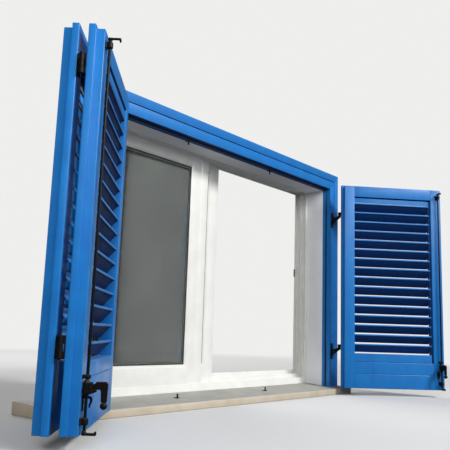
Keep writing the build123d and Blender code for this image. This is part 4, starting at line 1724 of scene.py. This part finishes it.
@dataclass
class Leaf:
    """One louvred leaf, described closed and then placed in its open pose."""

    letter: str
    left: float
    right: float
    place: Matrix
    hinge_stile: float = 56.0
    free_stile: float = 58.0
    slot: float = 11.0
    ease: float = 1.0
    carrier_ease: float = 0.6
    play: float = 0.1
    slat_pitch: float = 51.7
    slat_count: int = 16
    first_slat: float = AT.plank_top + 47.0
    nose_front: float = 15.0
    nose_half: float = 4.5
    tail: float = -22.0
    fall: float = 39.0
    blade: float = 8.0
    cap_half: float = 5.6
    cap_width: float = 2.0
    strip_foot: float = 1050.0
    strip_top: float = 1074.5
    strip_step: float = 8.0
    strip_thickness: float = 3.0

    def __post_init__(self) -> None:
        """Work out the field between the stiles."""
        self.x0 = self.left + self.hinge_stile
        self.x2 = self.right - self.free_stile
        self.x1 = self.x2 - self.slot
        self.body = f"leaf_{self.letter}"

    def build(self, louvre: GeometryTree) -> None:
        """Build the leaf.

        Args:
            louvre: Makes the row of slats.
        """
        for part in ("hinge_stile", "free_stile", "top_rail", "planks"):
            softened(f"{self.body}_{part}", self.ease, BLUE, self.body)
        # The carrier gets the darker blue of painted slot shade.
        softened(f"{self.body}_slat_carrier", self.carrier_ease, DARK_BLUE, self.body)
        self.slats(louvre)
        self.closing_strip()

    def slat(self) -> bpy.types.Object:
        """Make the pattern of a slat, at the lowest place.

        Returns:
            The slat, with a rounded nose and a thin falling blade.
        """
        z, half = self.first_slat, self.nose_half
        nose, tail = self.nose_front, self.tail
        outline = [
            (nose, z - half),
            (nose, z + half),
            (nose - 5.0, z + half),
            (tail, z + half - self.fall),
            (tail, z + half - self.fall - self.blade),
            (nose - 6.5, z - half + 0.4),
        ]
        section = rounded(outline, [2.2, 2.0, 3.0, 1.0, 1.0, 5.0], 3)
        maker = Mesher()
        maker.bar(Axis.X, section, self.x0 + self.play, self.x1 - self.cap_width)
        return object_of("slat_pattern", maker.mesh("slat_pattern"))

    def end_cap(self) -> bpy.types.Object:
        """Make the pattern of the plate at a slat's free end.

        Returns:
            The plate, with the tongue that holds it across the slot.
        """
        z, half = self.first_slat, self.cap_half
        nose, tail = self.nose_front, self.tail
        outline = [
            (nose + 0.8, z - half),
            (nose + 0.8, z + half + 1.6),
            (nose - 5.0, z + half + 0.4),
            (tail, z + half - self.fall),
            (tail, z - half - self.fall + 2.0),
            (nose - 6.5, z - half),
        ]
        maker = Mesher()
        maker.bar(Axis.X, rounded(outline, 1.5, 2), self.x1 - self.cap_width, self.x1 - self.play)
        maker.bar(Axis.X, rectangle(4.0, 9.5, z - 5.5, z - 1.5, 0.8, 1), self.x1 - self.play, self.x2)
        return object_of("cap_pattern", maker.mesh("cap_pattern"))

    def slats(self, louvre: GeometryTree) -> None:
        """Build all slats of the leaf.

        Args:
            louvre: Makes the row of slats.
        """
        slat, cap = self.slat(), self.end_cap()
        values = {
            "Slat": slat,
            "End cap": cap,
            "Count": self.slat_count,
            "Pitch": self.slat_pitch * MM,
            "Material": BLUE.material(),
        }
        name = f"{self.body}_louvre"
        piece = louvre.make(name, bpy.data.meshes.new(name), values, self.place)
        drop(slat)
        drop(cap)
        fit(piece, BLUE, self.body, (f"{self.body}_slats",))

    def closing_strip(self) -> None:
        """Build the upright strip that closes the gap above the top slat."""
        maker = Mesher()
        width = (self.x0 + self.play, self.x1 - 0.5)
        front = (self.nose_front - 5.0, self.nose_front - 0.5)
        back = (AT.leaf_mid, AT.leaf_mid + self.strip_thickness)
        step = self.strip_foot + self.strip_step
        maker.slab(width, front, (self.strip_foot, self.strip_top), 0.8)
        maker.slab(width, back, (step, AT.rail_underside + self.play), 0.8)
        maker.slab(width, (back[0], front[1] - 1.0), (step, step + 2.0), 0.8)
        finished(f"{self.body}_closing_strip", maker, BLUE, self.body, place=self.place)


@dataclass
class FoldHinges:
    """Folding hinges between the two left-hand leaves."""

    heights: tuple[float, float] = (195.0, 966.0)
    length: float = 60.0
    reach: float = 1.0
    play: float = 0.3
    plate_width: float = 40.0
    plate_thickness: float = 3.0
    knuckle_radius: float = 7.0
    button_radius: float = 4.6
    screw_margin: float = 12.0
    screw_steps: tuple[float, float] = (15.0, 31.0)
    screw_scale: float = 0.95

    def half(
        self,
        letter: str,
        sign: float,
        place: Matrix,
        knuckles: Sequence[Point],
        screws: Fasteners,
    ) -> None:
        """Build one leaf's half of both hinges.

        Args:
            letter: The leaf.
            sign: Minus one for the first leaf, one for the second.
            place: The leaf's open pose.
            knuckles: Height range of each knuckle.
            screws: Makes the screw heads.
        """
        maker = Mesher()
        points = []
        r = self.knuckle_radius
        y0 = AT.leaf_ext - self.plate_thickness
        near = AT.fold_x + sign * self.reach
        ends = sorted((near, AT.fold_x + sign * (self.reach + self.plate_width)))
        wing = sorted((near, AT.fold_x + sign * r))
        for height in self.heights:
            z0 = AT.sill_seat + height
            z1 = z0 + self.length
            maker.bar(Axis.Y, rectangle(*ends, z0, z1, 4.0, 4), y0, AT.leaf_ext, 0.7)
            for low, high in knuckles:
                ring = [(r - 0.8, z0 + low), (r, z0 + low + 0.8), (r, z0 + high - 0.8), (r - 0.8, z0 + high)]
                maker.turned(Axis.Z, (AT.fold_x, AT.fold_y, 0), ring, 28)
                maker.slab((wing[0], wing[1]), (AT.fold_y, y0 + 0.5), (z0 + low, z0 + high), 0.6)
            if sign < 0:
                wide = self.button_radius
                for end, way in ((z0, -1.0), (z1, 1.0)):
                    button = [(wide, end - way * 1.0), (wide, end + way * 0.8), (wide - 1.6, end + way * 1.9)]
                    maker.turned(Axis.Z, (AT.fold_x, AT.fold_y, 0), button, 20)
            for rise in (self.screw_margin, self.length - self.screw_margin):
                steps = [AT.fold_x + sign * (self.reach + step) for step in self.screw_steps]
                points += [(x, y0, z0 + rise) for x in steps]
        body = f"leaf_{letter}"
        finished(f"{body}_folding_hinges", maker, IRON, body, (f"{body}_fold_hinges",), place)
        screws.set(f"{body}_fold_screws", body, points, (0, -1, 0), place, self.screw_scale)

    def build(self, screws: Fasteners) -> None:
        """Build both halves.

        Args:
            screws: Makes the screw heads.
        """
        third = self.length / 3
        self.half("a", -1.0, OPEN_A, ((0.0, third), (2 * third, self.length)), screws)
        self.half("b", 1.0, OPEN_B, ((third + self.play, 2 * third - self.play),), screws)


@dataclass(frozen=True)
class Hook:
    """Sizes of a crank hook at one end of a rod, with its heights counted from its foot."""

    end: str
    foot: float
    way: float
    arm: Point
    nib: Point
    reach: float = 31.0
    collar_radius: float = 7.0
    collar_rim: float = 5.6
    neck_radius: float = 6.0
    neck_rim: float = 4.2
    arm_width: Point = (1.0, 6.0)
    nib_half: float = 6.0
    nib_depth: float = 5.0


@dataclass
class LockingRod:
    """Round locking rod of one leaf with hooks, hub, lever, guides and catch."""

    letter: str
    rod_x: float
    catch_side: float
    place: Matrix
    rod_radius: float = 4.0
    foot: float = 39.62
    top: float = 1120.62
    hub_foot: float = AT.leaf_foot + 104.0
    hub_height: float = 30.0
    hub_half: float = 10.8
    hub_flat: float = 6.5
    hub_reach: float = 14.0
    slot_half: float = 4.3
    slot_depth: float = 4.6
    shelf_rise: float = 10.7
    shelf_reach: float = 26.0
    pivot_rise: float = 17.0
    pivot_reach: float = 9.0
    rivet_radius: float = 2.45
    lever_reach: float = 55.0
    lever_half: float = 4.5
    arm_start: float = 22.0
    grip_drop: float = 20.0
    neck_half: float = 3.8
    eye_radius: float = 4.3
    lug_half: float = 1.6
    ball_radius: float = 9.7
    ball_drop: float = 29.0
    ball_setback: float = 9.5
    ball_rings: int = 14
    collar_half: float = 4.75
    guide_feet: tuple[float, float, float] = (AT.leaf_foot + 26.0, AT.leaf_foot + 142.0, AT.leaf_top - 50.0)
    guide_heights: tuple[float, float, float] = (19.0, 11.0, 19.0)
    guide_half: float = 13.0
    guide_thickness: float = 3.0
    guide_radius: float = 8.9
    guide_screw: float = 11.0
    catch_offset: float = 16.0
    catch_rise: float = 102.0
    catch_reach: float = 26.0
    catch_height: float = 44.0
    catch_half: float = 5.0
    catch_thickness: float = 3.0
    tail_half: float = 3.4
    tail_taper: float = 0.45
    catch_screws: tuple[float, float] = (22.0, 38.0)

    def __post_init__(self) -> None:
        """Name the bodies that its pieces ride on."""
        self.leaf = f"leaf_{self.letter}"
        self.body = f"rod_{self.letter}"
        self.handle = f"lever_{self.letter}"

    def build(self, screws: Fasteners) -> None:
        """Build every piece of the set.

        Args:
            screws: Makes the screw heads.
        """
        self.rod()
        self.hook(Hook("foot", self.foot, 1.0, (0.0, 7.5), (0.0, 10.5)))
        self.hook(Hook("head", self.top - 5.0, -1.0, (-2.0, 5.0), (-5.5, 5.0)))
        self.hub()
        self.lever()
        self.guides(screws)
        self.catch(screws)

    def rod(self) -> None:
        """Build the bar."""
        maker = Mesher()
        r, low, high = self.rod_radius, self.foot, self.top
        bar = [(r - 0.8, low + 0.5), (r, low + 2.0), (r, high - 2.0), (r - 0.8, high - 0.5)]
        maker.turned(Axis.Z, (self.rod_x, AT.rod_y, 0), bar, 20)
        finished(f"{self.body}_bar", maker, IRON, self.body, (self.body,), self.place)

    def hook(self, sizes: Hook) -> None:
        """Build a crank hook that is melted on to the bar's end.

        Args:
            sizes: Its sizes.
        """
        maker = Mesher()
        x, y = self.rod_x, AT.rod_y
        foot, way = sizes.foot, sizes.way
        low, high = foot + sizes.arm[0], foot + sizes.arm[1]
        tip = y + sizes.reach
        rim, wide = sizes.collar_rim, sizes.collar_radius
        maker.turned(Axis.Z, (x, y, 0), [(rim, low), (wide, low + 1.2), (wide, high - 1.2), (rim, high)], 24)
        rim, wide = sizes.neck_rim, sizes.neck_radius
        levels = [foot + way * rise for rise in (0.0, 6.0, 9.0, 12.0)]
        maker.turned(Axis.Z, (x, y, 0), list(zip((rim, wide, wide, rim), levels)), 24)
        near, far = sizes.arm_width
        maker.slab((x + near, x + far), (y, tip), (low, high), 1.4)
        nib = (foot + sizes.nib[0], foot + sizes.nib[1])
        maker.slab((x - sizes.nib_half, x + sizes.nib_half), (tip - sizes.nib_depth, tip), nib, 1.4)
        piece = forged(f"{self.body}_hook_{sizes.end}", maker, self.place, 0.6, 2)
        fit(piece, IRON, self.body)

    def hub(self) -> None:
        """Build the cast boss: sloping shoulders, a slot for the lever and the shelf under it."""
        maker = Mesher()
        x, y = self.rod_x, AT.rod_y
        z0, z1 = self.hub_foot, self.hub_foot + self.hub_height
        reach, floor = y + self.hub_reach, z0 + self.shelf_rise
        wide, flat, gap = self.hub_half, self.hub_flat, self.slot_half
        plan = [
            (x - wide, y - flat),
            (x - flat, y - wide),
            (x + flat, y - wide),
            (x + wide, y - flat),
            (x + wide, reach),
            (x + gap, reach),
            (x + gap, y + self.slot_depth),
            (x - gap, y + self.slot_depth),
            (x - gap, reach),
            (x - wide, reach),
        ]
        radii = [5, 5, 5, 5, 1.5, 0.8, 0.8, 0.8, 0.8, 1.5]
        maker.bar(Axis.Z, rounded(plan, radii, 4), z0 + 0.5, z1 - 0.5, 1.4)
        for foot, way in ((z0 + 0.6, -1.0), (z1 - 0.6, 1.0)):
            cone = [(8.8, foot), (7.8, foot + way * 2.0), (5.8, foot + way * 5.5), (4.6, foot + way * 7.5)]
            maker.turned(Axis.Z, (x, y - 1.2, 0), cone, 32)
        end = y + self.shelf_reach
        shelf = [(y, z0 + 1.0), (reach, z0 + 1.0), (end, floor - 4.5), (end, floor), (y, floor)]
        maker.bar(Axis.X, rounded(shelf, 1.5, 2), x - 4.5, x + 4.5, 0.8)
        maker.bar(Axis.Z, rectangle(x - 6.0, x + 6.0, y, reach, 1.0), z0 + 0.6, floor)
        piece = forged(f"{self.body}_boss", maker, self.place, 0.6, 3)
        fit(piece, IRON, self.body, (f"{self.body}_hub",))
        self.rivet()

    def rivet(self) -> None:
        """Build the rivet that the lever turns on, with a head on each side of the boss."""
        maker = Mesher()
        r = self.rivet_radius
        centre = (self.rod_x, AT.rod_y + self.pivot_reach, self.hub_foot + self.pivot_rise)
        head = [(2.2, -11.6), (3.2, -11.0), (3.2, -10.4), (r, -10.2)]
        ends = head + [(radius, -place) for radius, place in reversed(head)]
        maker.turned(Axis.X, centre, ends, 18)
        finished(f"{self.body}_pivot_rivet", maker, IRON, self.body, place=self.place)

    def lever(self) -> None:
        """Build the hanging handle: eye, deep flat arm with a round elbow, tapered grip and ball."""
        maker = Mesher()
        x, y, z = self.rod_x, AT.rod_y, self.hub_foot
        pivot_y, pivot_z = y + self.pivot_reach, z + self.pivot_rise
        end = y + self.lever_reach
        start = y + self.arm_start
        arm = [
            (start, z + 11.0),
            (start, z + 31.0),
            (end, z + 32.0),
            (end - 1.6, z - self.grip_drop),
            (end - 17.4, z - self.grip_drop),
            (end - 19.0, z + 11.4),
        ]
        section = rounded(arm, [1.5, 4.0, 8.0, 3.0, 3.0, 3.5], 6)
        maker.bar(Axis.X, section, x - self.lever_half, x + self.lever_half, 1.6)
        neck = [
            (pivot_y, z + 11.2),
            (pivot_y, pivot_z + 4.3),
            (pivot_y + 5.0, z + 23.5),
            (start + 3.0, z + 29.0),
            (start + 3.0, z + 11.2),
        ]
        half = self.neck_half
        maker.bar(Axis.X, rounded(neck, 1.0, 2), x - half, x + half, 0.6)
        wide, rim = self.eye_radius, self.eye_radius - 0.5
        eye = [(rim, -half), (wide, 0.5 - half), (wide, half - 0.5), (rim, half)]
        maker.turned(Axis.X, (x, pivot_y, pivot_z), eye, 24)
        lug = [(1.0, 29.0), (2.0, 31.9), (6.0, 31.9), (9.0, 29.0)]
        section = rounded([(start + a, z + b) for a, b in lug], 0.8, 2)
        maker.bar(Axis.X, section, x - self.lug_half, x + self.lug_half, 0.4)
        angles = [i * math.pi / self.ball_rings for i in range(self.ball_rings + 1)]
        ball = [(self.ball_radius * math.sin(a), -self.ball_radius * math.cos(a)) for a in angles]
        maker.turned(Axis.Z, (x, end - self.ball_setback, z - self.ball_drop), ball, 28)
        piece = forged(f"{self.body}_handle", maker, self.place, 0.7, 2)
        fit(piece, IRON, self.handle, (f"{self.body}_lever",))
        self.collar(end)

    def collar(self, end: float) -> None:
        """Build the thin collar round the top of the grip.

        Args:
            end: Depth of the grip's outer edge.
        """
        maker = Mesher()
        x, z = self.rod_x, self.hub_foot
        section = rectangle(x - self.collar_half, x + self.collar_half, end - 19.1, end - 0.6, 1.6, 3)
        maker.bar(Axis.Z, section, z + 7.2, z + 8.6, 0.4)
        finished(f"{self.body}_grip_collar", maker, IRON, self.handle, place=self.place)

    def guides(self, screws: Fasteners) -> None:
        """Build the brackets that the rod turns in, with small screws in their feet.

        Args:
            screws: Makes the screw heads.
        """
        maker = Mesher()
        x, y, wide = self.rod_x, AT.rod_y, self.guide_radius
        y0, y1 = AT.leaf_int, AT.leaf_int + self.guide_thickness
        points = []
        for foot, height in zip(self.guide_feet, self.guide_heights):
            top = foot + height
            maker.slab((x - self.guide_half, x + self.guide_half), (y0, y1), (foot, top), 1.0)
            maker.slab((x - 8.6, x + 8.6), (y0, y), (foot + 0.6, top - 0.6), 1.2)
            sleeve = [(6.0, foot - 0.2), (wide, foot + 2.2), (wide, top - 2.2), (6.0, top + 0.2)]
            maker.turned(Axis.Z, (x, y, 0), sleeve, 28)
            points += [(x + side * self.guide_screw, y1, (foot + top) / 2) for side in (-1, 1)]
        piece = forged(f"{self.leaf}_guide_brackets", maker, self.place, 0.7, 3)
        fit(piece, IRON, self.leaf, (f"{self.leaf}_rod_guides",))
        screws.set(f"{self.leaf}_guide_screws", self.leaf, points, (0, 1, 0), self.place, 0.5, IRON)

    def catch(self, screws: Fasteners) -> None:
        """Build the bracket whose tail curls down in an S.

        Args:
            screws: Makes the screw heads.
        """
        maker = Mesher()
        half = self.catch_half
        x = self.rod_x + self.catch_side * self.catch_offset
        y0, y1 = AT.leaf_int, AT.leaf_int + self.catch_reach
        face = y0 + self.catch_thickness
        top = AT.leaf_foot + self.catch_rise
        maker.slab((x - half, x + half), (y0, face), (top - self.catch_height, top), 1.0)
        corners = [
            (x, y0 + 1.0, top - 8.0),
            (x, y1 - 3.0, top - 8.0),
            (x, y1 - 4.0, top - 20.0),
            (x, y1 - 8.0, top - 29.0),
            (x, y1 - 6.5, top - 34.0),
        ]
        path = rounded(corners, [0, 6.0, 9.0, 4.0, 0], 6, closed=False)
        scales = [1.0 - self.tail_taper * i / (len(path) - 1) for i in range(len(path))]
        section = rectangle(-half, half, -self.tail_half, self.tail_half, 1.6, 3)
        maker.sweep(path, section, (1, 0, 0), scales)
        piece = forged(f"{self.leaf}_catch_bracket", maker, self.place, 0.6, 3)
        fit(piece, IRON, self.leaf, (f"{self.leaf}_lever_catch",))
        points = [(x, face, top - below) for below in self.catch_screws]
        screws.set(f"{self.leaf}_catch_screws", self.leaf, points, (0, 1, 0), self.place, 0.7, IRON)


# Camera, light and floor


@dataclass
class Studio:
    """Camera at the photograph's view, soft lamps, a pale world and floor."""

    eye: tuple[float, float, float] = (-2.25439, -1.81800, 0.31158)
    yaw: float = 40.0431
    pitch: float = 9.6440
    roll: float = 1.9081
    focal_pixels: float = 628.582
    image_pixels: float = 450.0
    sensor: float = 36.0
    clip: tuple[float, float] = (0.05, 100.0)
    pale: Colour = (0.86, 0.86, 0.85, 1.0)
    world_light: float = 0.13
    floor_seen: float = 0.69
    floor_bounce: float = 0.12
    floor_radius: float = 9.0
    floor_levels: tuple[float, float] = (-8.0, -0.6)
    fade: tuple[float, float] = (2.2, 6.5)

    def build(self) -> None:
        """Set up everything that isn't part of the window."""
        self.camera()
        self.world()
        self.floor()
        self.lamp("Key", (1.6, -7.84, 6.44), (0.0, 0.0, 0.6), size=2.1, power=850.0)
        self.lamp("Side", (-4.5, -3.3, 2.4), (0.0, -0.2, 0.6), size=2.4, power=130.0, mirrored=False)
        self.lamp("Sheen", (-1.5, -4.9, 3.0), (0.9, -0.2, 0.9), size=1.6, power=42.0)
        self.lamp("Rear", (1.5, 4.2, 3.4), (0.0, 0.2, 0.5), size=3.0, power=120.0)
        bpy.context.scene.view_settings.view_transform = "Standard"

    def camera(self) -> None:
        """Set up a camera fitted to the photograph's corners and edges."""
        yaw, pitch, roll = (math.radians(a) for a in (self.yaw, self.pitch, self.roll))
        level_reach = math.cos(pitch)
        forward = Vector((math.cos(yaw) * level_reach, math.sin(yaw) * level_reach, math.sin(pitch)))
        level = Vector((math.sin(yaw), -math.cos(yaw), 0.0))
        lift = level.cross(forward)
        right = math.cos(roll) * level + math.sin(roll) * lift
        up = -math.sin(roll) * level + math.cos(roll) * lift
        data = bpy.data.cameras.new("Camera")
        data.sensor_width = self.sensor
        data.lens = self.focal_pixels / self.image_pixels * self.sensor
        data.clip_start, data.clip_end = self.clip
        camera = bpy.data.objects.new("Camera", data)
        bpy.context.scene.collection.objects.link(camera)
        rows = Matrix((right, up, -forward)).transposed()
        camera.matrix_world = Matrix.Translation(self.eye) @ rows.to_4x4()
        bpy.context.scene.camera = camera

    def lamp(
        self,
        name: str,
        place: Sequence[float],
        target: Sequence[float],
        size: float,
        power: float,
        mirrored: bool = True,
    ) -> None:
        """Set up one square lamp.

        Args:
            name: Its name.
            place: Where it hangs.
            target: The point that it looks at.
            size: Length of its sides.
            power: Its power in watts.
            mirrored: Whether it shows in reflections.
        """
        data = bpy.data.lights.new(name, "AREA")
        data.energy = power
        data.size = size
        lamp = bpy.data.objects.new(name, data)
        bpy.context.scene.collection.objects.link(lamp)
        lamp.visible_camera = False
        lamp.visible_transmission = False
        lamp.visible_glossy = mirrored
        lamp.location = place
        lamp.rotation_mode = "QUATERNION"
        lamp.rotation_quaternion = (Vector(target) - Vector(place)).to_track_quat("-Z", "Y")

    def world(self) -> None:
        """Set up even light from all round, and a pale background behind the window."""
        world = bpy.data.worlds.new("Studio")
        world.use_nodes = True
        world.node_tree.nodes.clear()
        graph = Graph(world.node_tree)
        seen = self.seen(graph)
        lit = graph.add("ShaderNodeBackground", {"Color": (1, 1, 1, 1), "Strength": self.world_light})
        shown = graph.add("ShaderNodeBackground", {"Color": self.pale, "Strength": 1.0})
        both = graph.add("ShaderNodeMixShader", {0: seen, 1: lit.outputs[0], 2: shown.outputs[0]})
        graph.add("ShaderNodeOutputWorld", {"Surface": both.outputs[0]})
        bpy.context.scene.world = world

    @staticmethod
    def seen(graph: Graph) -> bpy.types.NodeSocket:
        """One for rays from the camera and through glass."""
        path = graph.add("ShaderNodeLightPath").outputs
        return graph.math("MAXIMUM", path["Is Camera Ray"], path["Is Transmission Ray"])

    def floor(self) -> None:
        """Build a pale floor that keeps the window's shadow and fades into the background."""
        maker = Mesher()
        ring = [(self.floor_radius / MM, level) for level in self.floor_levels]
        maker.turned(Axis.Z, (0, 0, 0), ring, 96)
        floor = object_of("floor", maker.mesh("floor"))
        made = bpy.data.materials.new("Pale floor")
        made.use_nodes = True
        made.node_tree.nodes.clear()
        graph = Graph(made.node_tree)
        where = graph.add("ShaderNodeTexCoord").outputs["Object"]
        reach = graph.add("ShaderNodeVectorMath", {0: where}, operation="LENGTH").outputs["Value"]
        far = graph.remap(reach, *self.fade)
        seen = self.seen(graph)
        extra = graph.math("MULTIPLY", seen, self.floor_seen - self.floor_bounce)
        tone = graph.math("ADD", self.floor_bounce, extra)
        grey = graph.add("ShaderNodeCombineColor", {"Red": tone, "Green": tone, "Blue": tone}).outputs[0]
        matt = graph.add("ShaderNodeBsdfDiffuse", {"Color": grey})
        glow = graph.add("ShaderNodeEmission", {"Color": self.pale, "Strength": 1.0})
        share = graph.math("MULTIPLY", seen, far)
        both = graph.add("ShaderNodeMixShader", {0: share, 1: matt.outputs[0], 2: glow.outputs[0]})
        graph.add("ShaderNodeOutputMaterial", {"Surface": both.outputs[0]})
        floor.data.materials.append(made)


def main() -> None:
    """Build every sub-assembly in order, then the studio."""
    logging.basicConfig(level=logging.INFO, format="%(name)s: %(message)s")
    screws = Fasteners()
    louvre = louvre_tree()
    Surround().build()
    hinges = JambHinges()
    hinges.pintles(screws)
    hinges.straps("a", OPEN_A, screws)
    hinges.straps("c", OPEN_C, screws)
    WindowFrame().build(screws)
    Sash(
        side="left",
        left=-835.0,
        right=-47.0,
        front=152.0,
        back=180.0,
        left_stile=78.0,
        right_stile=115.0,
        groove=(-112.0, -88.0),
    ).build()
    Sash(
        side="right",
        left=-835.0,
        right=71.0,
        front=188.0,
        back=216.0,
        left_stile=78.0,
        right_stile=72.0,
    ).build()
    Latch().build()
    Leaf("a", left=-839.0, right=-285.0, place=OPEN_A).build(louvre)
    Leaf("b", left=-263.0, right=280.0, place=OPEN_B).build(louvre)
    Leaf("c", left=-839.0, right=-285.0, place=OPEN_C).build(louvre)
    FoldHinges().build(screws)
    LockingRod("a", rod_x=-305.0, catch_side=-1.0, place=OPEN_A).build(screws)
    LockingRod("c", rod_x=305.0, catch_side=1.0, place=TURN_C).build(screws)
    Studio().build()


if __name__ == "__main__":
    main()
